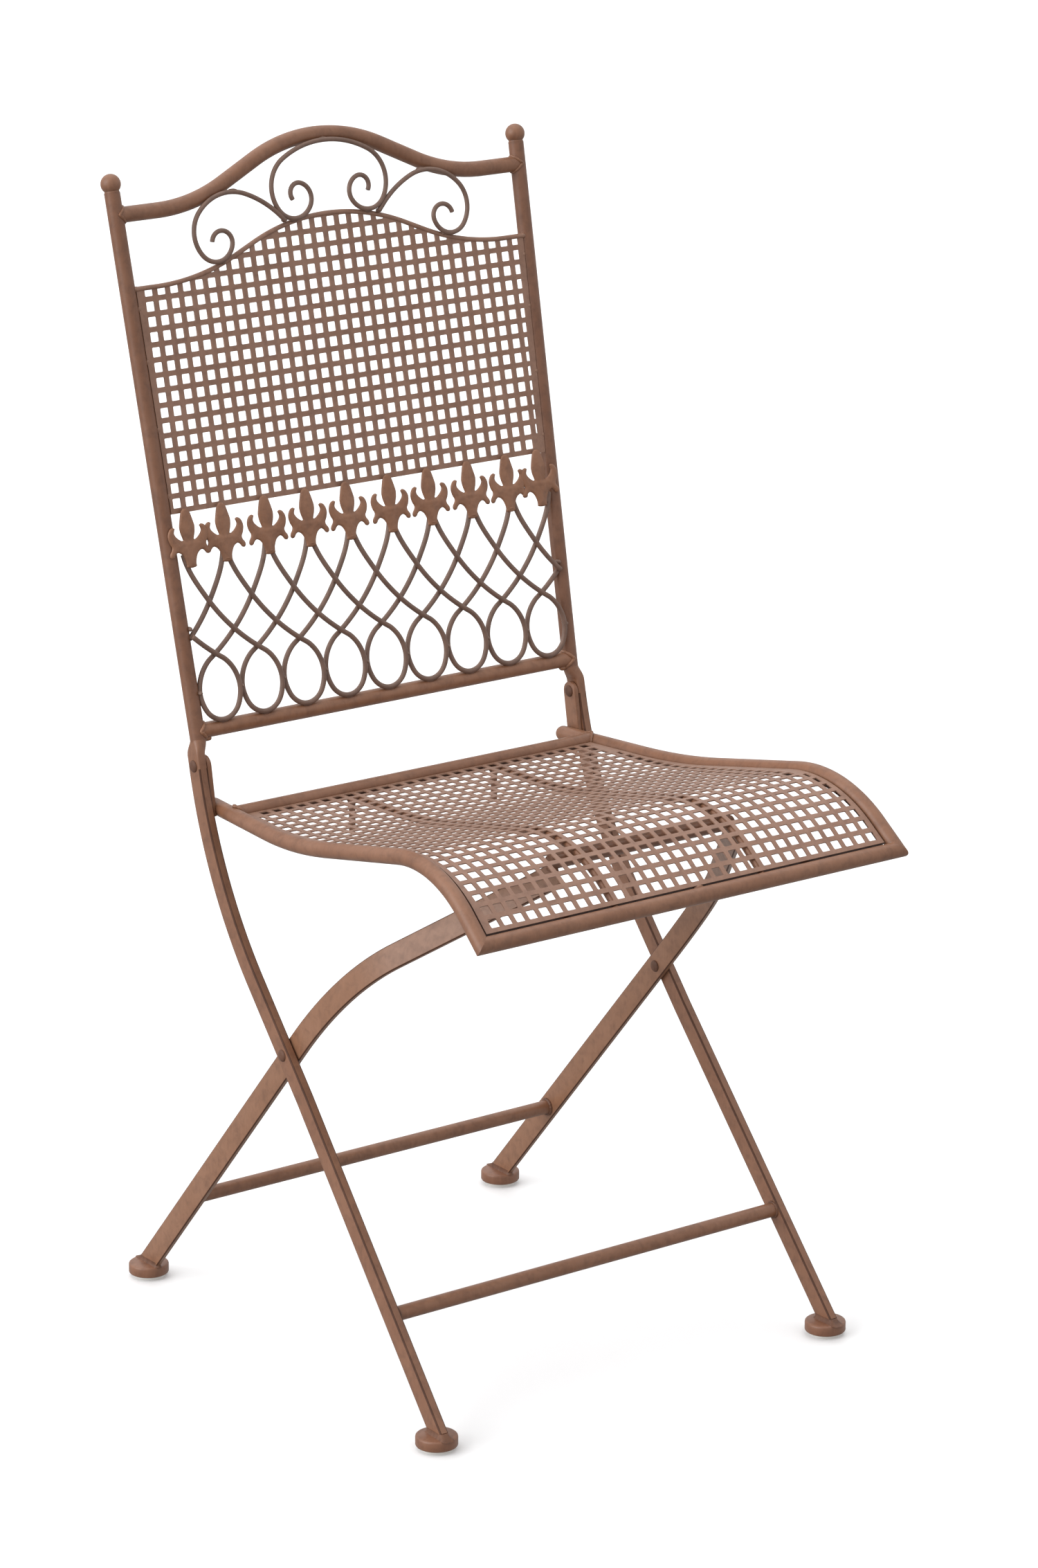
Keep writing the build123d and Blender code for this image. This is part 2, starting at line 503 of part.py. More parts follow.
# ---------------------------------------------------------------- write the parts
for side in ("left", "right"):
    save(f"upright_{side}", solid(upright[side]))
    save(f"finial_{side}", solid(finial[side]))
    save(f"front_leg_{side}", front_leg[side])
    save(f"front_foot_{side}", ff[side])
    save(f"front_glide_{side}", fg[side])
    save(f"rear_leg_{side}", rear_leg[side])
    save(f"rear_foot_{side}", rf[side])
    save(f"rear_glide_{side}", rg[side])
    save(f"seat_rail_{side}", seat_rail[side])
    save(f"hinge_plate_{side}", hinge_plate[side])
    save(f"guide_rod_{side}", guide[side])
save("crest_rail", solid(crest))
save("back_bottom_rail", solid(bottom_rail))
save("back_sheet", back_sheet)
save("sheet_edging", solid(edging))
save("scroll_center", scroll_center)
save("scroll_left", scroll_left)
save("scroll_right", scroll_right)
save("wire_lattice", lattice)
save("fleurs", fleurs)
save("front_stretcher", front_stretcher)
save("rear_stretcher", solid(rear_stretcher))
save("slide_crossbar", solid(crossbar))
save("hinge_rivets", hinge_rivets)
save("cross_rivets", cross_rivets)
save("seat_front_rail", solid(front_rail))
save("seat_rear_rail", rear_rail)
save("seat_sheet", seat_sheet)
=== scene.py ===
import math
import bpy
import bmesh
import numpy as np
from mathutils import Vector, Matrix, noise
from mathutils.geometry import delaunay_2d_cdt


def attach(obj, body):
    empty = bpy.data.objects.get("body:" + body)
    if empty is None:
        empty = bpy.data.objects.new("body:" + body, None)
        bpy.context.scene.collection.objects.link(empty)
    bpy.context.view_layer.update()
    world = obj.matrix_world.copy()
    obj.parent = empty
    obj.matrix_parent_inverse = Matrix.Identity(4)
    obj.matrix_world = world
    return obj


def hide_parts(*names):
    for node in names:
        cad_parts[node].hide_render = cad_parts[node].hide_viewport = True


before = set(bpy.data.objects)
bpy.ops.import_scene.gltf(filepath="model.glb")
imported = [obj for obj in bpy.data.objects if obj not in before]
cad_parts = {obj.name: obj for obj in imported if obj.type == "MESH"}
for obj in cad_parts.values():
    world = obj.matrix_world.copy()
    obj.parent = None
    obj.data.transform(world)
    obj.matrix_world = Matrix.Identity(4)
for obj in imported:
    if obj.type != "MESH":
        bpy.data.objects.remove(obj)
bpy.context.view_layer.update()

MM = 0.001
scene = bpy.context.scene

# ---------------------------------------------------------------- layout (mm), the same numbers as the solids
Y_SHIFT = 29.7
TUBE_R = 6.5
LEAN = math.atan(96.4 / 437.3)
SA, CA = math.sin(LEAN), math.cos(LEAN)
RAIL_Y, RAIL_Z = 124.8 + Y_SHIFT, 503.7
HINGE = (119.0 + Y_SHIFT, 477.5)
PIVOT = (-5.0 + Y_SHIFT, 265.0)
FRONT_LEG_X, REAR_LEG_X = 192.5, 185.4
LEG_W, LEG_T = 16.4, 8.0
RLEG_W, RLEG_T = 20.4, 5.0
FOOT_F = (198.0, -219.5 + Y_SHIFT)
FOOT_R = (185.4, 218.6 + Y_SHIFT)
BEND_Z, BEND_LO, BEND_UP = 343.5, 92.0, 54.0
BAR_HALF = 89.0
BAR_YZ = (-219.5 + Y_SHIFT, 463.2)
STRIP_END = (89.7, -221.0 + Y_SHIFT, 450.8)
FS_Z, RS_Z = 90.6, 93.5
POST_S, BALL_S = 439.0, 445.8
SEAT_START = (118.0, 441.4)
SEAT_TIP = (-288.5, 436.3)
SEAT_HALF_REAR, SEAT_HALF_FRONT = 177.65, 204.7
SEAT_V1, SEAT_V2 = (-24.6, 445.3), (-224.0, 487.1)
SEAT_X1, SEAT_X2 = 195.3, 200.0
SEAT_R1, SEAT_R2 = 470.0, 115.0
REAR_RAIL = (83.2 + Y_SHIFT, 443.2)
ROD_X, ROD_R = 72.0, 2.75
BACK_N = Vector((0, -CA, SA))
X_AXIS = Vector((1, 0, 0))


def B(x, s, d=0.0):
    """Point of the leaning back: x across, s up along the posts, d out to the front."""
    return Vector((x, RAIL_Y + s * SA - d * CA, RAIL_Z + s * CA + d * SA))


def half(s):
    return 189.1 + 11.7 * s / 447.8


def lerp(p, q, f):
    return p * (1 - f) + q * f


def ease(f):
    f = min(1.0, max(0.0, f))
    return f * f * (3 - 2 * f)


# ---------------------------------------------------------------- mesh helpers
class Geo:
    def __init__(self):
        self.v, self.f = [], []

    def add(self, vf):
        off = len(self.v)
        self.v += [Vector(p) for p in vf[0]]
        self.f += [tuple(i + off for i in f) for f in vf[1]]
        return self

    def mirrored(self):
        g = Geo()
        g.v = [Vector((-p.x, p.y, p.z)) for p in self.v]
        g.f = [tuple(reversed(f)) for f in self.f]
        return g


def piece(name, geo, mat, body, nodes=(), angle=38.0, mods=()):
    me = bpy.data.meshes.new(name)
    me.from_pydata([p * MM for p in geo.v], [], geo.f)
    me.validate()
    bm = bmesh.new()
    bm.from_mesh(me)
    bmesh.ops.recalc_face_normals(bm, faces=bm.faces)
    bm.to_mesh(me)
    bm.free()
    me.shade_smooth()
    if angle:
        me.set_sharp_from_angle(angle=math.radians(angle))
    me.materials.append(mat)
    ob = bpy.data.objects.new(name, me)
    scene.collection.objects.link(ob)
    for m in mods:
        m(ob)
    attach(ob, body)
    if nodes:
        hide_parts(*nodes)
    return ob


def paint_crease_shade(ob, mat, n_sec, per_corner, first, keep):
    """Painted shade along a swept bar's rounded corners, a dark stripe standing in for the shade of a crease: n_sec
    points per section, per_corner points on each corner.
    """
    ob.data.materials.append(mat)
    for p in ob.data.polygons:
        if len(p.vertices) == 4 and p.index // n_sec >= first and p.index % n_sec % per_corner in keep:
            p.material_index = 1


def glaze_welds(ob, mat, first):
    """The glaze is darker on the welds, which are the faces from first on."""
    ob.data.materials.append(mat)
    for p in ob.data.polygons:
        if p.index >= first:
            p.material_index = 1


def fillet2d(pts, radii, step=2.5):
    """Polyline with tangent arcs at its corners, sampled."""
    out = [Vector(pts[0])]
    for i in range(1, len(pts) - 1):
        p, a, b = Vector(pts[i]), Vector(pts[i - 1]), Vector(pts[i + 1])
        u, w = (a - p).normalized(), (b - p).normalized()
        ang = math.acos(max(-1, min(1, u.dot(w))))
        turn = math.pi - ang
        r = radii[i - 1]
        t = r * math.tan(turn / 2)
        c = p + (u + w).normalized() * (r / math.cos(turn / 2))
        s = p + u * t
        e = p + w * t
        n = max(3, int(math.ceil(r * turn / step)))
        v0 = s - c
        sign = 1 if v0.x * (e - c).y - v0.y * (e - c).x > 0 else -1
        for k in range(n + 1):
            th = sign * turn * k / n
            out.append(c + Vector((v0.x * math.cos(th) - v0.y * math.sin(th), v0.x * math.sin(th) + v0.y * math.cos(th))))
    out.append(Vector(pts[-1]))
    return out


def fillet3d(pts, radii, step=3.0):
    """The same for a polyline in space; each corner is rounded in its own plane."""
    out = [pts[0]]
    for i in range(1, len(pts) - 1):
        p = pts[i]
        u, w = (pts[i - 1] - p).normalized(), (pts[i + 1] - p).normalized()
        turn = math.pi - math.acos(max(-1, min(1, u.dot(w))))
        r = radii[i - 1]
        s = p + u * (r * math.tan(turn / 2))
        c = p + (u + w).normalized() * (r / math.cos(turn / 2))
        n = max(3, int(math.ceil(r * turn / step)))
        for k in range(n + 1):
            th = turn * k / n
            out.append(c + (s - c) * math.cos(th) - u * (r * math.sin(th)))
    out.append(pts[-1])
    return out


def arc_chain(start, heading, segs, step=1.6):
    """Tangent arcs (signed radius, degrees), sampled."""
    pts, x, y, h = [Vector(start)], start[0], start[1], math.radians(heading)
    for r, deg in segs:
        s, rr, t = (1 if r > 0 else -1), abs(r), math.radians(deg)
        cx, cy = x - s * rr * math.sin(h), y + s * rr * math.cos(h)
        n = max(4, int(math.ceil(rr * t / step)))
        for k in range(1, n + 1):
            hh = h + s * t * k / n
            pts.append(Vector((cx + s * rr * math.sin(hh), cy - s * rr * math.cos(hh))))
        x, y = pts[-1]
        h += s * t
    return pts


def densify(path, step):
    out = [path[0]]
    for p, q in zip(path, path[1:]):
        n = max(1, int(math.ceil((q - p).length / step)))
        for k in range(1, n + 1):
            out.append(lerp(p, q, k / n))
    return out


def sweep(path, sections, ref, ends=("flat", "flat"), planes=(None, None)):
    """Sweeps closed 2-D sections (one, or one per point) along a path. ref gives the sections' first axis."""
    n = len(path)
    if not isinstance(sections[0], list):
        sections = [sections] * n
    refs = ref if isinstance(ref, list) else [ref] * n
    tang = []
    for i in range(n):
        a = path[max(0, i - 1)]
        b = path[min(n - 1, i + 1)]
        tang.append((b - a).normalized())
    rings = []
    for i in range(n):
        t = tang[i]
        if i == 0:
            t = (path[1] - path[0]).normalized()
        if i == n - 1:
            t = (path[-1] - path[-2]).normalized()
        a = (refs[i] - t * t.dot(refs[i])).normalized()
        b = t.cross(a)
        ring = [path[i] + a * p + b * q for p, q in sections[i]]
        pl = planes[0] if i == 0 else planes[1] if i == n - 1 else None
        if pl:
            ring = [p - t * ((p - pl[0]).dot(pl[1]) / t.dot(pl[1])) for p in ring]
        rings.append(ring)
    m = len(rings[0])

    def cap(ring, centre, t, kind, size):
        extra = []
        if kind == "dome":
            for f in (0.35, 0.65, 0.87):
                k = math.sqrt(1 - f * f)
                extra.append([centre + (p - centre) * k + t * (size * f) for p in ring])
        elif kind == "blunt":
            for k, f in ((0.92, 0.16), (0.78, 0.24)):
                extra.append([centre + (p - centre) * k + t * (size * f) for p in ring])
        return extra
    t0 = (path[0] - path[1]).normalized()
    t1 = (path[-1] - path[-2]).normalized()
    size0 = max((p - path[0]).length for p in rings[0])
    size1 = max((p - path[-1]).length for p in rings[-1])
    head = cap(rings[0], path[0], t0, ends[0], size0)
    tail = cap(rings[-1], path[-1], t1, ends[1], size1)
    rings = list(reversed(head)) + rings + tail
    verts = [p for r in rings for p in r]
    faces = []
    for i in range(len(rings) - 1):
        for j in range(m):
            faces.append((i * m + j, i * m + (j + 1) % m, (i + 1) * m + (j + 1) % m, (i + 1) * m + j))
    faces.append(tuple(reversed(range(m))))
    k = (len(rings) - 1) * m
    faces.append(tuple(range(k, k + m)))
    return verts, faces


def circle(r, n=28):
    return [(r * math.cos(2 * math.pi * k / n), r * math.sin(2 * math.pi * k / n)) for k in range(n)]


def tube(path, r, ref, n=28, ends=("flat", "flat"), planes=(None, None)):
    if isinstance(r, (int, float)):
        return sweep(path, circle(r, n), ref, ends, planes)
    return sweep(path, [circle(x, n) for x in r], ref, ends, planes)


def rounded_rect(w, h, r, k=4):
    """Section w x h with corner radius r; 4 * (k + 1) points."""
    r = min(r, w / 2 - 1e-4, h / 2 - 1e-4)
    out = []
    for cx, cy, a0 in ((w / 2 - r, h / 2 - r, 0), (-(w / 2 - r), h / 2 - r, 90), (-(w / 2 - r), -(h / 2 - r), 180), (w / 2 - r, -(h / 2 - r), 270)):
        for i in range(k + 1):
            t = math.radians(a0 + 90 * i / k)
            out.append((cx + r * math.cos(t), cy + r * math.sin(t)))
    return out


def rod(p, q, r, n=28, ends=("flat", "flat"), ref=None, step=12.0):
    ref = ref or (Vector((0, 1, 0)) if abs((q - p).normalized().y) < 0.8 else X_AXIS)
    return tube(densify([p, q], step), r, ref, n, ends)


def blob(centre, radii, seed, rot=None, rough=0.12):
    """A small weld spot: a lumpy ellipsoid."""
    bm = bmesh.new()
    bmesh.ops.create_icosphere(bm, subdivisions=3, radius=1.0)
    vs = []
    for v in bm.verts:
        k = 1 + rough * noise.noise(v.co * 1.7 + Vector((seed * 3.1, seed * 1.7, seed * 0.9)))
        p = Vector((v.co.x * radii[0] * k, v.co.y * radii[1] * k, v.co.z * radii[2] * k))
        if rot is not None:
            p = rot @ p
        vs.append(centre + p)
    fs = [tuple(v.index for v in f.verts) for f in bm.faces]
    bm.free()
    return vs, fs


def saddle_bead(p, axis, r_small, q, big_axis, r_big, size, seed, n=56):
    """Weld bead along the line where a small tube (point p, axis) meets the wall of a bigger one (point q, big_axis)."""
    axis, big_axis = axis.normalized(), big_axis.normalized()
    a = (big_axis - axis * axis.dot(big_axis)).normalized()
    b = axis.cross(a)
    ring, nor = [], []
    for k in range(n):
        t = 2 * math.pi * k / n
        rad = a * math.cos(t) + b * math.sin(t)
        o = p + rad * (r_small + size * 0.12)
        # walk along the small tube's axis to the big tube's wall
        w = o - q
        w0 = w - big_axis * w.dot(big_axis)
        ax = axis - big_axis * axis.dot(big_axis)
        A, Bq, C = ax.dot(ax), 2 * w0.dot(ax), w0.dot(w0) - (r_big + size * 0.12) ** 2
        disc = max(0.0, Bq * Bq - 4 * A * C)
        s = (-Bq + math.sqrt(disc)) / (2 * A)
        s2 = (-Bq - math.sqrt(disc)) / (2 * A)
        s = s if abs(s) < abs(s2) else s2
        ring.append(o + axis * s)
        nor.append(rad)
    verts, faces, m = [], [], 10
    for k in range(n):
        t = (ring[(k + 1) % n] - ring[k - 1]).normalized()
        u = (nor[k] - t * t.dot(nor[k])).normalized()
        w = t.cross(u)
        rr = size * (1 + 0.22 * noise.noise(Vector((k * 0.55, seed, 0.3))) + 0.1 * math.sin(k * 1.9 + seed))
        for j in range(m):
            th = 2 * math.pi * j / m
            verts.append(ring[k] + u * (rr * math.cos(th)) + w * (rr * math.sin(th)))
    for k in range(n):
        for j in range(m):
            faces.append((k * m + j, k * m + (j + 1) % m, ((k + 1) % n) * m + (j + 1) % m, ((k + 1) % n) * m + j))
    return verts, faces


# ---------------------------------------------------------------- materials
def paint(name, base, dark, light, rough=0.43, patina=0.55, spec=0.5, bump=0.12):
    """Satin antique paint: a warm brown coat, darker where the glaze sits, paler where it is rubbed."""
    m = bpy.data.materials.new(name)
    m.use_nodes = True
    nt = m.node_tree
    nt.nodes.clear()
    N, L = nt.nodes.new, nt.links.new
    out = N("ShaderNodeOutputMaterial")
    bs = N("ShaderNodeBsdfPrincipled")
    L(bs.outputs[0], out.inputs[0])
    tc = N("ShaderNodeTexCoord")

    def tex(scale, detail, rgh, stretch=None, dist=0.0):
        n = N("ShaderNodeTexNoise")
        n.inputs["Scale"].default_value = scale
        n.inputs["Detail"].default_value = detail
        n.inputs["Roughness"].default_value = rgh
        n.inputs["Distortion"].default_value = dist
        if stretch:
            mp = N("ShaderNodeMapping")
            mp.inputs["Scale"].default_value = stretch
            L(tc.outputs["Object"], mp.inputs["Vector"])
            L(mp.outputs["Vector"], n.inputs["Vector"])
        else:
            L(tc.outputs["Object"], n.inputs["Vector"])
        return n

    def ramp(src, p0, c0, p1, c1):
        r = N("ShaderNodeValToRGB")
        r.color_ramp.elements[0].position = p0
        r.color_ramp.elements[0].color = (*c0, 1)
        r.color_ramp.elements[1].position = p1
        r.color_ramp.elements[1].color = (*c1, 1)
        L(src, r.inputs["Fac"])
        return r

    def mix(fac, a, b, blend="MIX"):
        x = N("ShaderNodeMix")
        x.data_type = "RGBA"
        x.blend_type = blend
        if isinstance(fac, float):
            x.inputs[0].default_value = fac
        else:
            L(fac, x.inputs[0])
        for sock, val in ((6, a), (7, b)):
            if isinstance(val, tuple):
                x.inputs[sock].default_value = (*val, 1)
            else:
                L(val, x.inputs[sock])
        return x.outputs[2]

    big = tex(26, 3, 0.55)
    mid = tex(115, 4, 0.6, dist=0.4)
    streak = tex(60, 4, 0.62, stretch=(6.0, 6.0, 0.9), dist=0.3)
    fine = tex(900, 3, 0.6)
    f1 = ramp(big.outputs["Fac"], 0.36, (0, 0, 0), 0.66, (1, 1, 1))
    f2 = ramp(mid.outputs["Fac"], 0.45, (0, 0, 0), 0.75, (patina, patina, patina))
    f3 = ramp(streak.outputs["Fac"], 0.5, (0, 0, 0), 0.78, (patina * 0.8,) * 3)
    c = mix(f1.outputs["Color"], base, tuple(0.55 * a + 0.45 * b for a, b in zip(base, light)))
    c = mix(f2.outputs["Color"], c, dark)
    c = mix(f3.outputs["Color"], c, light)
    geo = N("ShaderNodeNewGeometry")
    pt = ramp(geo.outputs["Pointiness"], 0.42, (0.5, 0.5, 0.5), 0.5, (0, 0, 0))
    c = mix(pt.outputs["Color"], c, tuple(0.6 * x for x in dark))
    L(c, bs.inputs["Base Color"])
    rr = N("ShaderNodeMapRange")
    rr.inputs["To Min"].default_value = rough - 0.07
    rr.inputs["To Max"].default_value = rough + 0.1
    L(mid.outputs["Fac"], rr.inputs["Value"])
    L(rr.outputs["Result"], bs.inputs["Roughness"])
    bs.inputs["Specular IOR Level"].default_value = spec
    bs.inputs["IOR"].default_value = 1.5
    b1 = N("ShaderNodeBump")
    b1.inputs["Strength"].default_value = bump
    b1.inputs["Distance"].default_value = 0.0004
    L(mid.outputs["Fac"], b1.inputs["Height"])
    b2 = N("ShaderNodeBump")
    b2.inputs["Strength"].default_value = bump * 0.8
    b2.inputs["Distance"].default_value = 0.0002
    L(fine.outputs["Fac"], b2.inputs["Height"])
    L(b1.outputs["Normal"], b2.inputs["Normal"])
    L(b2.outputs["Normal"], bs.inputs["Normal"])
    return m


BROWN, DARK, PALE = (0.194, 0.083, 0.041), (0.102, 0.043, 0.023), (0.250, 0.120, 0.068)
M_TUBE = paint("tube_paint", BROWN, DARK, PALE)
# painted shade: the posts get a darker copy of the tube brown, so part of their shading is in the colour
M_POST_PAINTED_SHADE = paint("post_paint_painted_shade", (0.162, 0.066, 0.032), (0.084, 0.035, 0.019), (0.210, 0.098, 0.056))
# painted light: the bottom rail and the fleurs get a lighter copy of the tube brown, so part of their lighting is in
# the colour
M_RAIL_PAINTED_LIGHT = paint("rail_paint_painted_light", (0.226, 0.099, 0.049), (0.120, 0.052, 0.029), (0.288, 0.143, 0.083))
M_SHEET = paint("sheet_paint", (0.231, 0.120, 0.077), (0.129, 0.064, 0.042), (0.300, 0.170, 0.119), rough=0.46)
M_WIRE = paint("wire_paint", (0.147, 0.084, 0.060), (0.085, 0.050, 0.037), (0.199, 0.116, 0.083), rough=0.45)
M_LEG = paint("leg_paint", (0.194, 0.085, 0.044), DARK, PALE, rough=0.4)
# painted light: the rear legs get a lighter copy of the leg brown, so part of their lighting is in the colour
M_LEG_REAR_PAINTED_LIGHT = paint("rear_leg_paint_painted_light", (0.222, 0.104, 0.055), (0.114, 0.051, 0.028), (0.277, 0.140, 0.082), rough=0.4)
# painted shade: a near-black brown that stands in for the shade in the legs' corner creases and in the crevice beside
# the seat rails
M_PAINTED_CREASE_SHADE = paint("leg_edge_painted_shade", (0.062, 0.024, 0.012), (0.040, 0.017, 0.009), (0.105, 0.044, 0.024), rough=0.55, spec=0.25)
M_WELD = paint("weld_glaze", (0.105, 0.044, 0.024), (0.060, 0.026, 0.015), (0.200, 0.092, 0.050), rough=0.5, patina=0.8, spec=0.35, bump=0.3)
M_FOOT = paint("foot_paint", (0.185, 0.078, 0.042), DARK, PALE, rough=0.42)
M_RIVET = paint("rivet_paint", (0.100, 0.044, 0.026), (0.052, 0.025, 0.016), (0.160, 0.076, 0.045), rough=0.55, spec=0.3)
M_GLIDE = paint("glide_plastic", (0.66, 0.63, 0.585), (0.5, 0.47, 0.43), (0.74, 0.72, 0.69), rough=0.55, patina=0.3)

# ---------------------------------------------------------------- back frame
FR, ST, RL = "back_frame", "seat", "rear_legs"


def stadium_blend(f):
    """Section that turns from the round tube (f 0) into the flat leg (f 1); 32 points."""
    flat = rounded_rect(LEG_T, LEG_W, 1.7, 7)
    # the same angular order on the circle
    rnd = []
    for cx, cy, a0 in ((1, 1, 0), (-1, 1, 90), (-1, -1, 180), (1, -1, 270)):
        for i in range(8):
            t = math.radians(a0 + 2 + 86 * i / 7)
            rnd.append((TUBE_R * math.cos(t), TUBE_R * math.sin(t)))
    return [(a[0] * (1 - f) + b[0] * f, a[1] * (1 - f) + b[1] * f) for a, b in zip(rnd, flat)]


for side, sg in (("left", -1), ("right", 1)):
    # post
    g = Geo()
    pts = [B(sg * half(s), s) for s in np.linspace(-7, POST_S, 60)]
    g.add(tube(pts, TUBE_R, X_AXIS, 32))
    piece("upright_post_" + side, g, M_POST_PAINTED_SHADE, FR, ["upright_" + side])
    # finial: ball on a short neck
    g = Geo()
    prof = [(-5.6, 5.2), (-5.0, 5.9), (-3.6, 6.15), (-2.2, 5.7), (-1.4, 5.35), (-0.6, 5.6)]
    c0 = BALL_S
    ring_r, ring_s = [], []
    for ds, r in prof:
        ring_s.append(POST_S + ds + 4.2)
        ring_r.append(r)
    for k in range(1, 25):
        ring_s.append(c0 - 8.25 * math.cos(math.radians(44) + math.radians(136) * k / 25))
        ring_r.append(8.25 * math.sin(math.radians(44) + math.radians(136) * k / 25))
    path = [B(sg * half(s), s) for s in ring_s]
    secs = [circle(r, 32) for r in ring_r]
    # the ball's rings are stacked along the post
    axis = (B(sg * half(100), 100) - B(sg * half(0), 0)).normalized()
    u = (X_AXIS - axis * axis.dot(X_AXIS)).normalized()
    w = axis.cross(u)
    vs, fs = [], []
    for p, r in zip(path, ring_r):
        for k in range(32):
            t = 2 * math.pi * k / 32
            vs.append(p + u * (r * math.cos(t)) + w * (r * math.sin(t)))
    nr = len(path)
    for i in range(nr - 1):
        for j in range(32):
            fs.append((i * 32 + j, i * 32 + (j + 1) % 32, (i + 1) * 32 + (j + 1) % 32, (i + 1) * 32 + j))
    fs.append(tuple(reversed(range(32))))
    fs.append(tuple(range((nr - 1) * 32, nr * 32)))
    g.add((vs, fs))
    piece("finial_ball_" + side, g, M_TUBE, FR, ["finial_" + side])

# crest and bottom rail, with the weld beads at the posts
crest2 = fillet2d([(-198.5, 420.5), (-126.9, 420.5), (0, 481.4), (126.9, 420.5), (198.5, 420.5)], [150, 143.8, 150], 3.0)
g = Geo()
g.add(tube(densify([B(p.x, p.y) for p in crest2], 4.0), TUBE_R, BACK_N, 32))
for sg in (-1, 1):
    g.add(saddle_bead(B(sg * 180, 420.5), Vector((sg, 0, 0)), TUBE_R, B(sg * half(420.5), 420.5), B(sg * half(100), 100) - B(sg * half(0), 0), TUBE_R, 1.25, 3.0 + sg))
piece("crest_tube", g, M_TUBE, FR, ["crest_rail"])
g = Geo()
g.add(rod(B(-half(0.5) + 1, 0.5), B(half(0.5) - 1, 0.5), TUBE_R, 32))
for sg in (-1, 1):
    g.add(saddle_bead(B(sg * 176, 0.5), Vector((sg, 0, 0)), TUBE_R, B(sg * half(0.5), 0.5), B(sg * half(100), 100) - B(sg * half(0), 0), TUBE_R, 1.5, 7.0 + sg))
    g.add(blob(B(sg * (half(0) - 9.0), -6.3, 0.6), (3.6, 2.6, 2.4), 4 + sg))
piece("bottom_rail_tube", g, M_RAIL_PAINTED_LIGHT, FR, ["back_bottom_rail"])


# ---------------------------------------------------------------- perforated sheets
def perforated(cols, rows, hole_fn, pitch, hole, pitch_s, rc=0.75):
    """Flat sheet of square cells in (x, s); hole_fn(i, j, cx, cs) gives None for a plain cell or x limits (lo, hi)."""
    bm = bmesh.new()
    cache = {}

    def vert(x, s):
        k = (round(x * 1000), round(s * 1000))
        if k not in cache:
            cache[k] = bm.verts.new((x, s, 0))
        return cache[k]
    h = hole / 2
    a = h - rc
    kk = rc * (1 - math.sqrt(0.5))
    for cx, i in cols:
        for cs, j in rows:
            px, ps = pitch / 2, pitch_s / 2
            outer = [(px, a), (px, ps), (a, ps), (-a, ps), (-px, ps), (-px, a), (-px, -a), (-px, -ps), (-a, -ps), (a, -ps), (px, -ps), (px, -a)]
            inner = [(h, a), (h - kk, h - kk), (a, h), (-a, h), (-h + kk, h - kk), (-h, a), (-h, -a), (-h + kk, -h + kk), (-a, -h), (a, -h), (h - kk, -h + kk), (h, -a)]
            lim = hole_fn(i, j, cx, cs)
            ov = [vert(cx + x, cs + s) for x, s in outer]
            lo, hi = lim if lim else (-1e9, 1e9)
            iv = [bm.verts.new((min(max(cx + x, lo), hi), cs + s, 0)) for x, s in inner]
            for k in range(12):
                bm.faces.new((ov[k], ov[(k + 1) % 12], iv[(k + 1) % 12], iv[k]))
            if not lim:
                bm.faces.new(iv)
    return bm


def cut(bm, co, no):
    bmesh.ops.bisect_plane(bm, geom=bm.verts[:] + bm.edges[:] + bm.faces[:], plane_co=co, plane_no=no, clear_outer=True)


def add_strip(bm, s_edge, s_new):
    """Adds a plain border below or above the cells' outer line s_edge."""
    es = [e for e in bm.edges if all(abs(v.co.y - s_edge) < 1e-3 for v in e.verts)]
    r = bmesh.ops.extrude_edge_only(bm, edges=es)
    for v in [x for x in r["geom"] if isinstance(x, bmesh.types.BMVert)]:
        v.co.y = s_new


def sheet_piece(name, bm, mat, body, nodes, thick, bev=0.32):
    bmesh.ops.remove_doubles(bm, verts=bm.verts[:], dist=1e-4)
    for v in bm.verts:
        v.co *= MM
    bmesh.ops.recalc_face_normals(bm, faces=bm.faces[:])
    me = bpy.data.meshes.new(name)
    bm.to_mesh(me)
    bm.free()
    me.shade_smooth()
    me.materials.append(mat)
    ob = bpy.data.objects.new(name, me)
    scene.collection.objects.link(ob)
    so = ob.modifiers.new("thickness", "SOLIDIFY")
    so.thickness = thick * MM
    so.offset = 0
    so.use_even_offset = True
    bv = ob.modifiers.new("edges", "BEVEL")
    bv.width = bev * MM
    bv.segments = 2
    bv.limit_method = "ANGLE"
    bv.angle_limit = math.radians(50)
    bv.harden_normals = True
    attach(ob, body)
    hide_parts(*nodes)
    return ob


# wavy top line of the back sheet and its edging wire
edge2 = fillet2d([(-half(360) + 4, 360.3), (-131.6, 360.3), (0, 417.9), (131.6, 360.3), (half(360) - 4, 360.3)], [200, 188, 200], 2.5)
EX, ES = [p.x for p in edge2], [p.y for p in edge2]


def top_s(x):
    return float(np.interp(x, EX, ES))


SB, PITCH, HOLE, PITCH_S = 177.5, 12.2, 7.85, 12.25
IN = 5.75
cols = [(i * PITCH + 1.8, i) for i in range(-16, 17)]
rows = [(SB + 4.3 + HOLE / 2 + j * PITCH_S, j) for j in range(19)]


def back_hole(i, j, cx, cs):
    # the punching is not centred: the plain border is wider on the right
    lim = half(cs) - IN - 1.8
    lo, hi = max(cx - HOLE / 2, -lim), min(cx + HOLE / 2, lim - 3.6)
    return (lo, hi) if hi - lo > 2.0 else None


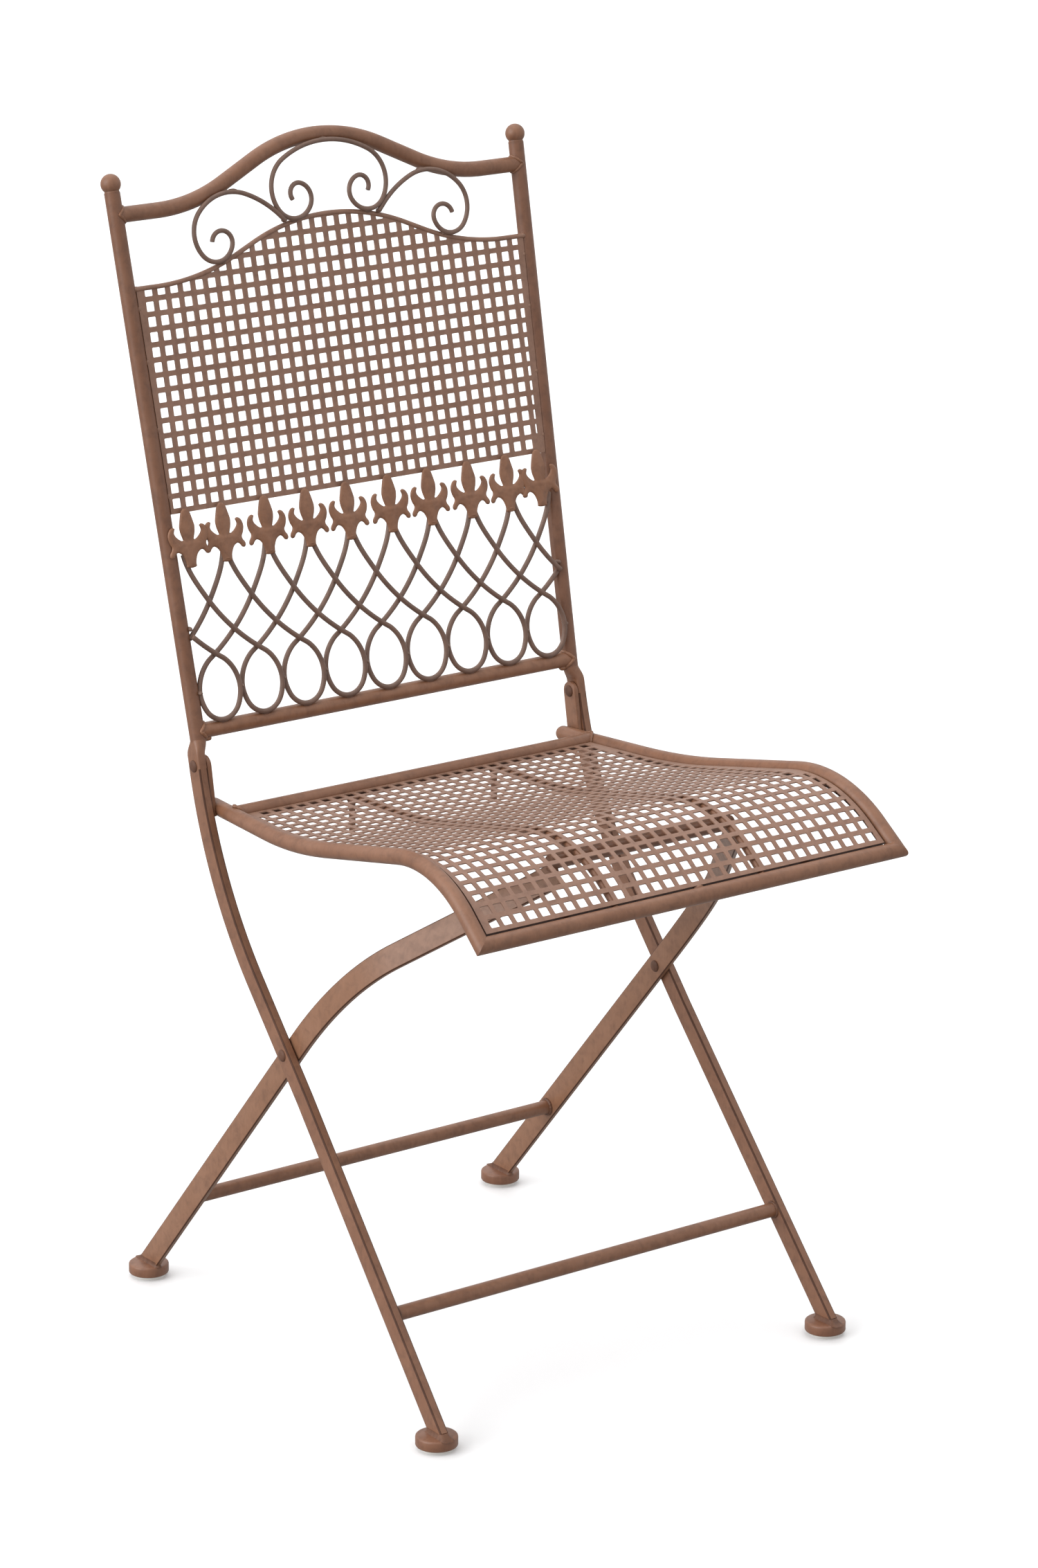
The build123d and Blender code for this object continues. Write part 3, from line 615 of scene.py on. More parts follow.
bm = perforated(cols, rows, back_hole, PITCH, HOLE, PITCH_S)
add_strip(bm, rows[0][0] - PITCH_S / 2, SB)
for sg in (-1, 1):
    p0, p1 = Vector((sg * (half(178) - IN), 178, 0)), Vector((sg * (half(400) - IN), 400, 0))
    d = p1 - p0
    n = Vector((d.y, -d.x, 0)) * sg
    cut(bm, p0, n)
for v in bm.verts:
    v.co.y -= top_s(v.co.x)
cut(bm, Vector((0, -0.2, 0)), Vector((0, 1, 0)))
for v in bm.verts:
    v.co.y += top_s(v.co.x)
for v in bm.verts:
    v.co = B(v.co.x, v.co.y, 3.35)
sheet_piece("back_mesh_sheet", bm, M_SHEET, FR, ["back_sheet"], 1.5)

g = Geo()
g.add(tube([B(p.x, p.y, 3.35) for p in densify(edge2, 4.0)], 2.0, BACK_N, 16))
# tack welds that hold the sheet to the posts
for sg in (-1, 1):
    for k, s in enumerate((192, 246, 301, 344)):
        g.add(blob(B(sg * (half(s) - 6.3), s, 3.0), (2.0, 1.5, 2.4), k + 10 * sg + 20))
    g.add(blob(B(sg * (half(360) - 6.0), 360.3, 3.4), (2.6, 2.2, 2.4), 31 + sg))
piece("sheet_edge_wire", g, M_SHEET, FR, ["sheet_edging"])

# ---------------------------------------------------------------- scrolls
SF = 7.4
half_segs = [(-84.37, 29.99), (-28.92, 93.86), (-18.34, 114.91), (-13.13, 102.86), (-8.3, 141.57)]
rc2 = arc_chain((0, 461.2), 0, half_segs)
centre2 = [Vector((-p.x, p.y)) for p in reversed(rc2)] + rc2[1:]
# the scrolls sit a little to the right of the middle
CX, CS = 2.5, -1.0
g = Geo()
g.add(tube([B(p.x + CX, p.y + CS, SF) for p in centre2], 2.0, BACK_N, 16, ("blunt", "blunt")))
for sg in (-1, 1):
    lo = min(rc2, key=lambda p: p.y)
    g.add(blob(B(sg * lo.x + CX, lo.y + CS - 1.6, 5.4), (3.4, 1.7, 1.5), 41 + sg))
g.add(blob(B(CX, 462.2 + CS, 6.2), (4.2, 1.6, 1.6), 43))
piece("scroll_center_wire", g, M_WIRE, FR, ["scroll_center"])
sc2 = [Vector((45.9, 399.0)), Vector((47.9, 401.0))] + arc_chain((49.9, 403.1), 46.5, [(-90, 24.5), (-42.0, 69.0), (-26.6, 82.0), (-16.8, 125.0), (-9.7, 184)])
for side, sg, dx, ds in (("left", -1, 1.5, 0.0), ("right", 1, 2.5, -2.0)):
    g = Geo()
    g.add(tube([B(sg * p.x + dx, p.y + ds, SF) for p in sc2], 2.0, BACK_N, 16, ("blunt", "blunt")))
    hi = max(sc2, key=lambda p: p.y)
    g.add(blob(B(sg * (hi.x - 4) + dx, hi.y + ds + 0.9, 6.4), (4.6, 1.5, 1.6), 45 + sg))
    low = min([p for p in sc2 if p.x > 80], key=lambda p: p.y - top_s(p.x))
    g.add(blob(B(sg * low.x + dx, (low.y + ds + top_s(low.x)) / 2, 5.4), (3.2, 2.0, 1.6), 48 + sg))
    g.add(blob(B(sg * 46.4 + dx, 399.3 + ds, 5.9), (2.6, 2.2, 1.8), 51 + sg))
    piece("scroll_wire_" + side, g, M_WIRE, FR, ["scroll_" + side])

# ---------------------------------------------------------------- looped lattice of round wire
arm_segs = [(17.07, 66.3), (33.24, 72.75), (16.29, 7.95), (-157.98, 35.45), (-60.0, 12.0)]
arm = arc_chain((0, 6.9), 0, arm_segs, 2.2)
LP = 41.4 * 0.996
WR = 2.15


def arm_depth(s, front):
    k = ease((s - 8) / 26.0) * (1 - ease((s - 106) / 24.0))
    return 5.2 + (1.8 if front else -1.8) * k


g = Geo()


def lattice_wire(x0, which):
    """which: both arms of a loop, or only the arm that leans left or right."""
    left = [(x0 - p.x + 2.4 * ease((p.y - 25) / 90), p.y, arm_depth(p.y, False)) for p in arm]
    right = [(x0 + p.x, p.y, arm_depth(p.y, True)) for p in arm]
    if which == "both":
        pts = list(reversed(left)) + right[1:]
    else:
        pts = right if which == "right" else left
    runs, run = [], []
    for x, s, d in pts:
        ok = abs(x) < half(s) - 4.6
        if ok:
            run.append(B(x, s, d))
        elif run:
            runs.append(run)
            run = []
    if run:
        runs.append(run)
    for r in runs:
        if len(r) > 4:
            g.add(tube(r, WR, BACK_N, 14, ("blunt", "blunt")))


for k in range(-4, 5):
    lattice_wire(k * LP, "both")
lattice_wire(5 * LP, "right")
lattice_wire(-5 * LP, "left")
for k in range(-4, 5):
    g.add(blob(B(k * LP, 5.6, 4.6), (4.2, 1.6, 1.9), 60 + k))
wide = max(arm, key=lambda p: p.x)
for k in range(-4, 4):
    g.add(blob(B((k + 0.5) * LP, wide.y, 5.2), (1.5, 4.0, 1.9), 75 + k))
for sg in (-1, 1):
    g.add(blob(B(sg * (half(wide.y) - 5.0), wide.y, 5.4), (2.0, 4.0, 1.9), 90 + sg))
    g.add(blob(B(sg * (half(84) - 5.2), 84, 5.0), (2.0, 3.4, 2.0), 93 + sg))
piece("lattice_wires", g, M_WIRE, FR, ["wire_lattice"])

# ---------------------------------------------------------------- fleur-de-lis ornaments
FLEUR = [(0, 181.0), (2.4, 180.2), (4.3, 177.6), (5.8, 172.6), (6.9, 168.2), (7.2, 165.4), (6.7, 161.4), (5.6, 157.8), (4.9, 155.6), (6.6, 155.4),
         (9.4, 157.2), (11.9, 159.8), (12.9, 162.2), (12.4, 164.4), (11.7, 165.9), (13.7, 167.0), (16.4, 165.8), (18.4, 162.6), (18.9, 158.8),
         (17.9, 154.6), (16.3, 151.4), (16.8, 148.8), (18.6, 146.2), (19.0, 143.8), (17.6, 142.2), (15.4, 142.8), (13.8, 145.0), (11.6, 146.3),
         (8.8, 145.2), (6.6, 142.6), (5.0, 138.6), (4.6, 135.6), (4.4, 133.4), (0, 132.6)]
FLEUR_X = [-177.5, -142.6, -100.9, -60.4, -20.2, 21.8, 62.0, 103.2, 142.8, 175.5]
SHARP = {(4.9, 155.6), (11.7, 165.9)}


def smooth_loop(pts, sharp, n=5):
    """Catmull-Rom through a closed loop, with straight-in corners at the sharp points."""
    out, m = [], len(pts)
    for i in range(m):
        p0, p1, p2, p3 = (Vector(pts[(i + k) % m]) for k in (-1, 0, 1, 2))
        if tuple(pts[i]) in sharp:
            p0 = p1 * 2 - p2
        if tuple(pts[(i + 1) % m]) in sharp:
            p3 = p2 * 2 - p1
        for k in range(n):
            t = k / n
            out.append(0.5 * ((2 * p1) + (p2 - p0) * t + (2 * p0 - 5 * p1 + 4 * p2 - p3) * t * t + (3 * p1 - p0 - 3 * p2 + p3) * t ** 3))
    return out


loop_pts = FLEUR + [(-x, s) for x, s in reversed(FLEUR[1:-1])]
sharp = SHARP | {(-x, s) for x, s in SHARP}
outline = smooth_loop(loop_pts, sharp)
oa = np.array([(p.x, p.y) for p in outline])


def seg_dist(p):
    a, b = oa, np.roll(oa, -1, axis=0)
    d = b - a
    t = np.clip(((p - a) * d).sum(1) / np.maximum((d * d).sum(1), 1e-9), 0, 1)
    return float(np.sqrt((((a + d * t[:, None]) - p) ** 2).sum(1).min()))


def inside(p):
    a, b = oa, np.roll(oa, -1, axis=0)
    c = (a[:, 1] > p[1]) != (b[:, 1] > p[1])
    with np.errstate(divide="ignore", invalid="ignore"):
        xx = (b[:, 0] - a[:, 0]) * (p[1] - a[:, 1]) / (b[:, 1] - a[:, 1]) + a[:, 0]
    return bool((c & (p[0] < xx)).sum() % 2)


inner_pts = []
st = 0.85
for r in range(int(50 / (st * 0.866)) + 1):
    y = 132.5 + r * st * 0.866
    for c in range(-24, 25):
        x = (c + 0.5 * (r % 2)) * st
        p = np.array((x, y))
        if inside(p) and seg_dist(p) > 0.42:
            inner_pts.append((x, y))
cdt_v = [Vector(p) for p in outline] + [Vector(p) for p in inner_pts]
no = len(outline)
cdt = delaunay_2d_cdt(cdt_v, [(i, (i + 1) % no) for i in range(no)], [], 1, 1e-5)
fv, ff = cdt[0], cdt[2]
orig = cdt[3]
border = [seg_dist(np.array((p.x, p.y))) for p in fv]
edge_count = {}
for f in ff:
    for i in range(len(f)):
        e = tuple(sorted((f[i], f[(i + 1) % len(f)])))
        edge_count[e] = edge_count.get(e, 0) + 1
rim = [e for e, c in edge_count.items() if c == 1]


def relief(p, dist, seed):
    """Height of the ornament's face over its rim: rounded edges, a spine on each petal."""
    k = min(1.0, dist / 1.5)
    h = 0.75 * math.sqrt(max(0.0, 1 - (1 - k) ** 2)) + 0.16 * min(dist, 6.0)
    # crease that ties the petals together
    if 150.5 < p.y < 154.5 and abs(p.x) < 9:
        h += 0.35 * math.sin(math.pi * (p.y - 150.5) / 4.0)
    h += 0.12 * noise.noise(Vector((p.x * 0.35 + seed * 7, p.y * 0.35, seed)))
    return h


g = Geo()
for n_f, x0 in enumerate(FLEUR_X):
    lift = 0.0 if abs(x0) < 170 else 0.5
    vs = []
    for p, d in zip(fv, border):
        vs.append(B(x0 + p.x, p.y, 7.55 + lift + relief(p, d, n_f)))
    nv = len(fv)
    for p in fv:
        vs.append(B(x0 + p.x, p.y, 6.95 + lift))
    fs = [tuple(f) for f in ff] + [tuple(reversed([i + nv for i in f])) for f in ff]
    for a_, b_ in rim:
        fs.append((a_, b_, b_ + nv, a_ + nv))
    g.add((vs, fs))
    g.add(blob(B(x0, 136.0, 6.6), (3.8, 2.6, 1.4), 110 + n_f))
piece("fleur_ornaments", g, M_RAIL_PAINTED_LIGHT, FR, ["fleurs"], angle=55)

# ---------------------------------------------------------------- front legs
top_yz = (B(0, -15).y, B(0, -15).z)
foot_leg = (FOOT_F[1] - 4.0, 12.0)
lower_dir = Vector((foot_leg[0] - PIVOT[0], foot_leg[1] - PIVOT[1]))
den = SA * lower_dir.y - CA * lower_dir.x
tq = ((PIVOT[0] - top_yz[0]) * lower_dir.y - (PIVOT[1] - top_yz[1]) * lower_dir.x) / den
vert = (top_yz[0] + SA * tq, top_yz[1] + CA * tq)
low_pt = (PIVOT[0] + lower_dir.x * (PIVOT[1] - 235) / (PIVOT[1] - 12.0), 235.0)
leg2 = fillet2d([top_yz, vert, low_pt], [365], 6.0)
for side, sg in (("left", -1), ("right", 1)):
    path, secs = [], []
    for k in range(9):
        f = k / 8
        s = -6.0 - 12.0 * f
        x = half(s) * (1 - ease(f)) + FRONT_LEG_X * ease(f)
        path.append(B(sg * x, s))
        sec = stadium_blend(ease(f))
        secs.append(sec)
    flat = stadium_blend(1.0)
    for p in leg2:
        if p.y < path[-1].z - 4:
            path.append(Vector((sg * FRONT_LEG_X, p.x, p.y)))
            secs.append(flat)
    end = Vector((sg * (FOOT_F[0] + 0.1), foot_leg[0], 12.0)) + Vector((0, lower_dir.x, lower_dir.y)).normalized() * 0.0
    start = path[-1]
    n = 24
    for k in range(1, n + 1):
        f = k / n
        p = lerp(start, end, f)
        path.append(p)
        secs.append(flat)
    tdir = (end - start).normalized()
    path.append(end + tdir * 1.0)
    secs.append(flat)
    g = Geo()
    g.add(sweep(path, secs, X_AXIS * 1.0))
    ob = piece("front_leg_bar_" + side, g, M_LEG, FR, ["front_leg_" + side], angle=30)
    # painted shade on the leg's corners: dark stripe standing in for the crease's shade
    paint_crease_shade(ob, M_PAINTED_CREASE_SHADE, 32, 8, 9, (1, 2, 3, 4, 5))


def lathe(cx, cy, prof, n=48):
    vs, fs = [], []
    for r, z in prof:
        for k in range(n):
            t = 2 * math.pi * k / n
            vs.append(Vector((cx + r * math.cos(t), cy + r * math.sin(t), z)))
    m = len(prof)
    for i in range(m - 1):
        for j in range(n):
            fs.append((i * n + j, i * n + (j + 1) % n, (i + 1) * n + (j + 1) % n, (i + 1) * n + j))
    fs.append(tuple(reversed(range(n))))
    fs.append(tuple(range((m - 1) * n, m * n)))
    return vs, fs


DISC = [(8.0, 3.0), (15.4, 3.0), (16.5, 3.3), (17.0, 4.1), (17.0, 10.3), (16.75, 11.2), (16.1, 11.8), (15.2, 12.0), (8.0, 12.15)]
GLIDE = [(8.0, 0.0), (12.6, 0.0), (13.3, 0.35), (13.5, 0.9), (13.5, 3.0), (8.0, 3.0)]


def fillet_skirt(centre, tdir, w_axis, wid, thick, z, flare, height, seed):
    """Weld that flares from a leg's section out to a disc's top face."""
    n_axis = tdir.cross(w_axis).normalized()
    sec = rounded_rect(wid, thick, min(2.4, thick / 2 - 0.05), 7)
    vs, fs, levels = [], [], 6
    m = len(sec)
    for i in range(levels):
        f = i / (levels - 1)
        grow = flare * (1 - f) ** 2
        hgt = height * f
        for k, (p, q) in enumerate(sec):
            l = math.hypot(p, q)
            lump = 1 + 0.25 * noise.noise(Vector((k * 0.21, seed, i * 0.2)))
            pp, qq = p + p / l * grow * lump, q + q / l * grow * lump
            pt = centre + w_axis * pp + n_axis * qq
            # slide along the leg so that the ring lies level
            pt = pt + tdir * ((z + hgt - pt.z) / tdir.z)
            vs.append(pt)
    for i in range(levels - 1):
        for j in range(m):
            fs.append((i * m + j, i * m + (j + 1) % m, (i + 1) * m + (j + 1) % m, (i + 1) * m + j))
    fs.append(tuple(reversed(range(m))))
    fs.append(tuple(range((levels - 1) * m, levels * m)))
    return vs, fs


fdir = Vector((0, -lower_dir.x, -lower_dir.y)).normalized()
for side, sg in (("left", -1), ("right", 1)):
    up = (Vector((sg * FRONT_LEG_X, PIVOT[0], PIVOT[1])) - Vector((sg * FOOT_F[0], foot_leg[0], 12.0))).normalized()
    wax = up.cross(X_AXIS).normalized()
    g = Geo()
    g.add(lathe(sg * FOOT_F[0], FOOT_F[1], DISC))
    nf = len(g.f)
    g.add(fillet_skirt(Vector((sg * (FOOT_F[0] + 0.1), foot_leg[0], 12.0)), up, wax, LEG_W + 0.2, LEG_T + 0.2, 11.9, 3.4, 4.2, 5 + sg))
    glaze_welds(piece("front_disc_" + side, g, M_FOOT, FR, ["front_foot_" + side], angle=50), M_WELD, nf)
    g = Geo()
    g.add(lathe(sg * FOOT_F[0], FOOT_F[1], GLIDE))
    piece("front_glide_pad_" + side, g, M_GLIDE, FR, ["front_glide_" + side])

fs_y = PIVOT[0] + lower_dir.x * (PIVOT[1] - FS_Z) / (PIVOT[1] - 12.0)
fx = FRONT_LEG_X + (FOOT_F[0] + 0.1 - FRONT_LEG_X) * (235 - FS_Z) / (235 - 12.0) - LEG_T / 2 + 0.1
g = Geo()
g.add(rod(Vector((-fx, fs_y, FS_Z)), Vector((fx, fs_y, FS_Z)), 6.0, 28))
nf = len(g.f)
for sg in (-1, 1):
    g.add(saddle_bead(Vector((sg * (fx - 1.0), fs_y, FS_Z)), Vector((sg, 0, 0)), 6.0, Vector((sg * (fx + 400), fs_y, FS_Z)), Vector((0, 0.6, 0.8)), 400.2, 1.3, 21 + sg))
glaze_welds(piece("front_stretcher_tube", g, M_TUBE, FR, ["front_stretcher"]), M_WELD, nf)

# ---------------------------------------------------------------- rear legs
rl_dir = Vector((0, PIVOT[0] - (FOOT_R[1] - 1.0), PIVOT[1] - 12.0)).normalized()
for side, sg in (("left", -1), ("right", 1)):
    bend = Vector((sg * REAR_LEG_X, PIVOT[0] + rl_dir.y * ((BEND_Z - PIVOT[1]) / rl_dir.z), BEND_Z))
    low = Vector((sg * REAR_LEG_X, PIVOT[0] - rl_dir.y * ((PIVOT[1] - 11.0) / rl_dir.z), 11.0))
    aim = Vector((sg * STRIP_END[0], STRIP_END[1], STRIP_END[2]))
    up_dir = (aim - bend).normalized()
    aim = aim + up_dir * 5.5
    wide_lo = Vector((-1, 0, 0)).cross(rl_dir).normalized()
    wide_up = (wide_lo - up_dir * up_dir.dot(wide_lo)).normalized()
    path, refs, secs = [], [], []
    sec_full = rounded_rect(RLEG_W, RLEG_T, 1.3, 5)
    q0, q1, q2 = bend - rl_dir * BEND_LO, bend, bend + up_dir * BEND_UP
    for p in densify([low, q0], 8.0):
        path.append(p)
        refs.append(wide_lo)
        secs.append(sec_full)
    for k in range(1, 25):
        f = k / 24
        path.append(q0 * ((1 - f) ** 2) + q1 * (2 * f * (1 - f)) + q2 * (f ** 2))
        refs.append(lerp(wide_lo, wide_up, f))
        secs.append(sec_full)
    n = 14
    for k in range(1, n + 1):
        f = k / n
        path.append(lerp(q2, aim, f))
        refs.append(wide_up)
        secs.append(sec_full)
    g = Geo()
    g.add(sweep(path, secs, refs, ("flat", "blunt")))
    ob = piece("rear_leg_bar_" + side, g, M_LEG_REAR_PAINTED_LIGHT, RL, ["rear_leg_" + side], angle=30)
    # painted shade on the leg's corners: dark stripe standing in for the crease's shade
    paint_crease_shade(ob, M_PAINTED_CREASE_SHADE, 24, 6, 0, (1, 2, 3))
    g = Geo()
    g.add(lathe(sg * FOOT_R[0], FOOT_R[1], DISC))
    nf = len(g.f)
    g.add(fillet_skirt(Vector((sg * REAR_LEG_X, low.y, 12.0)), rl_dir, wide_lo, RLEG_W + 0.2, RLEG_T + 0.2, 11.9, 3.2, 4.0, 15 + sg))
    glaze_welds(piece("rear_disc_" + side, g, M_FOOT, RL, ["rear_foot_" + side], angle=50), M_WELD, nf)
    g = Geo()
    g.add(lathe(sg * FOOT_R[0], FOOT_R[1], GLIDE))
    piece("rear_glide_pad_" + side, g, M_GLIDE, RL, ["rear_glide_" + side])

rs_y = PIVOT[0] - rl_dir.y * ((PIVOT[1] - RS_Z) / rl_dir.z)
rx = REAR_LEG_X - RLEG_T / 2
g = Geo()
g.add(rod(Vector((-rx, rs_y, RS_Z)), Vector((rx, rs_y, RS_Z)), 6.0, 28))
nf = len(g.f)
for sg in (-1, 1):
    g.add(saddle_bead(Vector((sg * (rx - 1.0), rs_y, RS_Z)), Vector((sg, 0, 0)), 6.0, Vector((sg * (rx + 400), rs_y, RS_Z)), rl_dir, 400.2, 1.7, 27 + sg))
glaze_welds(piece("rear_stretcher_tube", g, M_TUBE, RL, ["rear_stretcher"]), M_WELD, nf)
g = Geo()
g.add(rod(Vector((-BAR_HALF, *BAR_YZ)), Vector((BAR_HALF, *BAR_YZ)), 6.0, 28, ("blunt", "blunt")))
for sg in (-1, 1):
    g.add(blob(Vector((sg * (BAR_HALF - 1.0), BAR_YZ[0] + 1.0, BAR_YZ[1] - 5.6)), (3.2, 5.0, 2.8), 33 + sg))
piece("slide_bar", g, M_TUBE, RL, ["slide_crossbar"])

# ---------------------------------------------------------------- rivets


def rivet(x0, x1, y, z):
    g = Geo()
    for x, s in ((x0, -1), (x1, 1)):
        prof = [(0.0, 5.0), (0.35, 5.0), (0.8, 4.75), (1.4, 4.1), (1.85, 3.1), (2.1, 1.8), (2.1, 0.6)]
        path = [Vector((x + s * (d - 0.02), y, z)) for d, r in prof]
        vs, fs, n = [], [], 28
        for (d, r), p in zip(prof, path):
            for k in range(n):
                t = 2 * math.pi * k / n
                vs.append(p + Vector((0, r * math.cos(t), r * math.sin(t))))
        for i in range(len(prof) - 1):
            for j in range(n):
                fs.append((i * n + j, i * n + (j + 1) % n, (i + 1) * n + (j + 1) % n, (i + 1) * n + j))
        fs.append(tuple(range(n)))
        fs.append(tuple(range((len(prof) - 1) * n, len(prof) * n)))
        g.add((vs, fs))
    g.add(rod(Vector((x0, y, z)), Vector((x1, y, z)), 2.95, 20))
    return g


pl_out = FRONT_LEG_X - LEG_T / 2 - 0.3
pl_in = pl_out - 4.0
gh, gc = Geo(), Geo()
for sg in (-1, 1):
    a_, b_ = sorted((sg * (pl_in - 0.15), sg * (FRONT_LEG_X + LEG_T / 2)))
    r_ = rivet(a_, b_, *HINGE)
    gh.add((r_.v, r_.f))
    a_, b_ = sorted((sg * (REAR_LEG_X - RLEG_T / 2 - 0.15), sg * (FRONT_LEG_X + LEG_T / 2)))
    r_ = rivet(a_, b_, *PIVOT)
    gc.add((r_.v, r_.f))
piece("hinge_rivet_pair", gh, M_RIVET, FR, ["hinge_rivets"])
piece("cross_rivet_pair", gc, M_RIVET, FR, ["cross_rivets"])

# ---------------------------------------------------------------- seat frame
tip = Vector((SEAT_HALF_FRONT, SEAT_TIP[0] + Y_SHIFT, SEAT_TIP[1]))
rail3 = densify(fillet3d([Vector((SEAT_HALF_REAR, SEAT_START[0] + Y_SHIFT, SEAT_START[1])), Vector((SEAT_X1, SEAT_V1[0] + Y_SHIFT, SEAT_V1[1])),
                          Vector((SEAT_X2, SEAT_V2[0] + Y_SHIFT, SEAT_V2[1])), tip], [SEAT_R1, SEAT_R2]), 5.0)
RLY, RLX = [-p.y for p in rail3], [p.x for p in rail3]


def rail_x(y):
    """Half spacing of the side rails at y (without the shift)."""
    return float(np.interp(-(y + Y_SHIFT), RLY, RLX))


for side, sg in (("left", -1), ("right", 1)):
    path = [Vector((sg * p.x, p.y, p.z)) for p in rail3]
    b_vec = (path[-2] - path[-1]).normalized()
    n_m = (Vector((-sg, 0, 0)) - b_vec).normalized()
    g = Geo()
    g.add(tube(path, TUBE_R, X_AXIS, 32, ("dome", "flat"), (None, (path[-1], n_m))))
    piece("seat_rail_tube_" + side, g, M_TUBE, ST, ["seat_rail_" + side])
g = Geo()
fp = densify([Vector((-tip.x, tip.y, tip.z)), tip], 10.0)
b_r = (path[-2] - path[-1]).normalized()
n_r = (Vector((-1, 0, 0)) - b_r).normalized()
n_l = Vector((-n_r.x, n_r.y, n_r.z))
g.add(tube(fp, TUBE_R, Vector((0, 0, 1)), 32, ("flat", "flat"), ((fp[0], n_l), (fp[-1], n_r))))
# tab that joins the sheet to the front rail
g.add(blob(Vector((8.0, tip.y + 6.4, tip.z + 4.4)), (4.4, 2.6, 2.2), 55))
for sg in (-1, 1):
    g.add(blob(Vector((sg * 118.0, tip.y + 7.0, tip.z + 1.5)), (4.0, 2.4, 2.0), 57 + sg))
piece("seat_front_tube", g, M_TUBE, ST, ["seat_front_rail"])
g = Geo()
rr_x = rail_x(REAR_RAIL[0] - Y_SHIFT)
rr_d = Vector((SEAT_X1 - SEAT_HALF_REAR, SEAT_V1[0] - SEAT_START[0], SEAT_V1[1] - SEAT_START[1]))
g.add(rod(Vector((-rr_x + 2, *REAR_RAIL)), Vector((rr_x - 2, *REAR_RAIL)), TUBE_R, 32))
for sg in (-1, 1):
    g.add(saddle_bead(Vector((sg * (rr_x - 9), *REAR_RAIL)), Vector((sg, 0, 0)), TUBE_R, Vector((sg * rr_x, *REAR_RAIL)), Vector((sg * rr_d.x, rr_d.y, rr_d.z)), TUBE_R, 1.3, 61 + sg))
piece("seat_rear_tube", g, M_TUBE, ST, ["seat_rear_rail"])

# hinge plates
pd = Vector((0, -0.17, -0.985)).normalized()
wv = Vector((0, -pd.z, pd.y))
for side, sg in (("left", -1), ("right", 1)):
    ph = Vector((0, *HINGE))
    ol = []
    for k in range(19):
        t = math.pi * k / 18
        ol.append(ph + wv * (8 * math.cos(t)) - pd * (8 * math.sin(t)))
    e0 = ph + pd * 42.5
    for f in np.linspace(0.1, 1, 10):
        ol.append(lerp(ph - wv * 8, e0 - wv * 8, float(f)))
    for f in np.linspace(0, 0.9, 10):
        ol.append(lerp(e0 + wv * 8, ph + wv * 8, float(f)))
    mid = sum(ol, Vector((0, 0, 0))) / len(ol)
    layers = [(pl_in, 0.955), (pl_in + 0.3, 0.985), (pl_in + 0.9, 1.0), (pl_out - 0.9, 1.0), (pl_out - 0.3, 0.985), (pl_out, 0.955)]
    vs, fs = [], []
    for x, k in layers:
        for p in ol:
            q = mid + (p - mid) * k
            vs.append(Vector((sg * x, q.y, q.z)))
    m = len(ol)
    for i in range(len(layers) - 1):
        for j in range(m):
            fs.append((i * m + j, i * m + (j + 1) % m, (i + 1) * m + (j + 1) % m, (i + 1) * m + j))
    fs.append(tuple(range(m)))
    fs.append(tuple(range((len(layers) - 1) * m, len(layers) * m)))
    g = Geo()
    g.add((vs, fs))
    g.add(blob(Vector((sg * (pl_in - 0.4), e0.y - 1.5, e0.z + 3.5)), (2.0, 8.5, 2.4), 71 + sg))
    piece("hinge_lug_" + side, g, M_TUBE, ST, ["hinge_plate_" + side])


# ---------------------------------------------------------------- seat sheet and guide rods
def seat_line(up, y_start, past):
    z_start = SEAT_START[1] + (SEAT_V1[1] - SEAT_START[1]) * (SEAT_START[0] - y_start) / (SEAT_START[0] - SEAT_V1[0])
    poly = [Vector((y_start, z_start)), Vector(SEAT_V1), Vector(SEAT_V2), Vector(SEAT_TIP)]
    ds = [(poly[i + 1] - poly[i]).normalized() for i in range(3)]
    ns = [Vector((d.y, -d.x)) for d in ds]
    poly[3] = poly[3] + ds[2] * past
    out = [poly[0] + ns[0] * up]
    for i in (1, 2):
        out.append(poly[i] + (ns[i - 1] + ns[i]) * (up / (1 + ns[i - 1].dot(ns[i]))))
    out.append(poly[3] + ns[2] * up)
    return out


SEAT_UP = 1.0
sp = densify(fillet2d([tuple(p) for p in seat_line(SEAT_UP, 90.0, 4.0)], [SEAT_R1 - SEAT_UP, SEAT_R2 + SEAT_UP], 1.0), 0.5)
cum = [0.0]
for p, q in zip(sp, sp[1:]):
    cum.append(cum[-1] + (q - p).length)
LEN = cum[-1]
SPY, SPZ = [p.x for p in sp], [p.y for p in sp]


def on_seat(s):
    return float(np.interp(s, cum, SPY)), float(np.interp(s, cum, SPZ))


SP, SR, SH = 12.0, 12.3, 8.1
SLOT, LIP = 1.5, 5.0


def plan_half(y):
    """Half width of the sheet's folded border at y; a narrow slot is left beside the rails."""
    return rail_x(y) - TUBE_R - SLOT - 0.75


s_rear = next(c for c, p in zip(cum, sp) if (p - Vector((REAR_RAIL[0] - Y_SHIFT, REAR_RAIL[1]))).length > TUBE_R + 0.9 and p.x < REAR_RAIL[0] - Y_SHIFT - 0.5)
s_front = max(c for c, p in zip(cum, sp) if (p - Vector(SEAT_TIP)).length > TUBE_R + SLOT + 0.75)
rows = []
for r in range(34):
    s = LEN - 20.5 - r * SR
    if s < s_rear - SR:
        break
    rows.append((s, r))
n_hole_rows = sum(1 for s, r in rows if on_seat(s - SH / 2)[0] <= 74 and s >= 10)
cols = [((i + 0.5) * SP + 1.3, i) for i in range(-18, 18)]


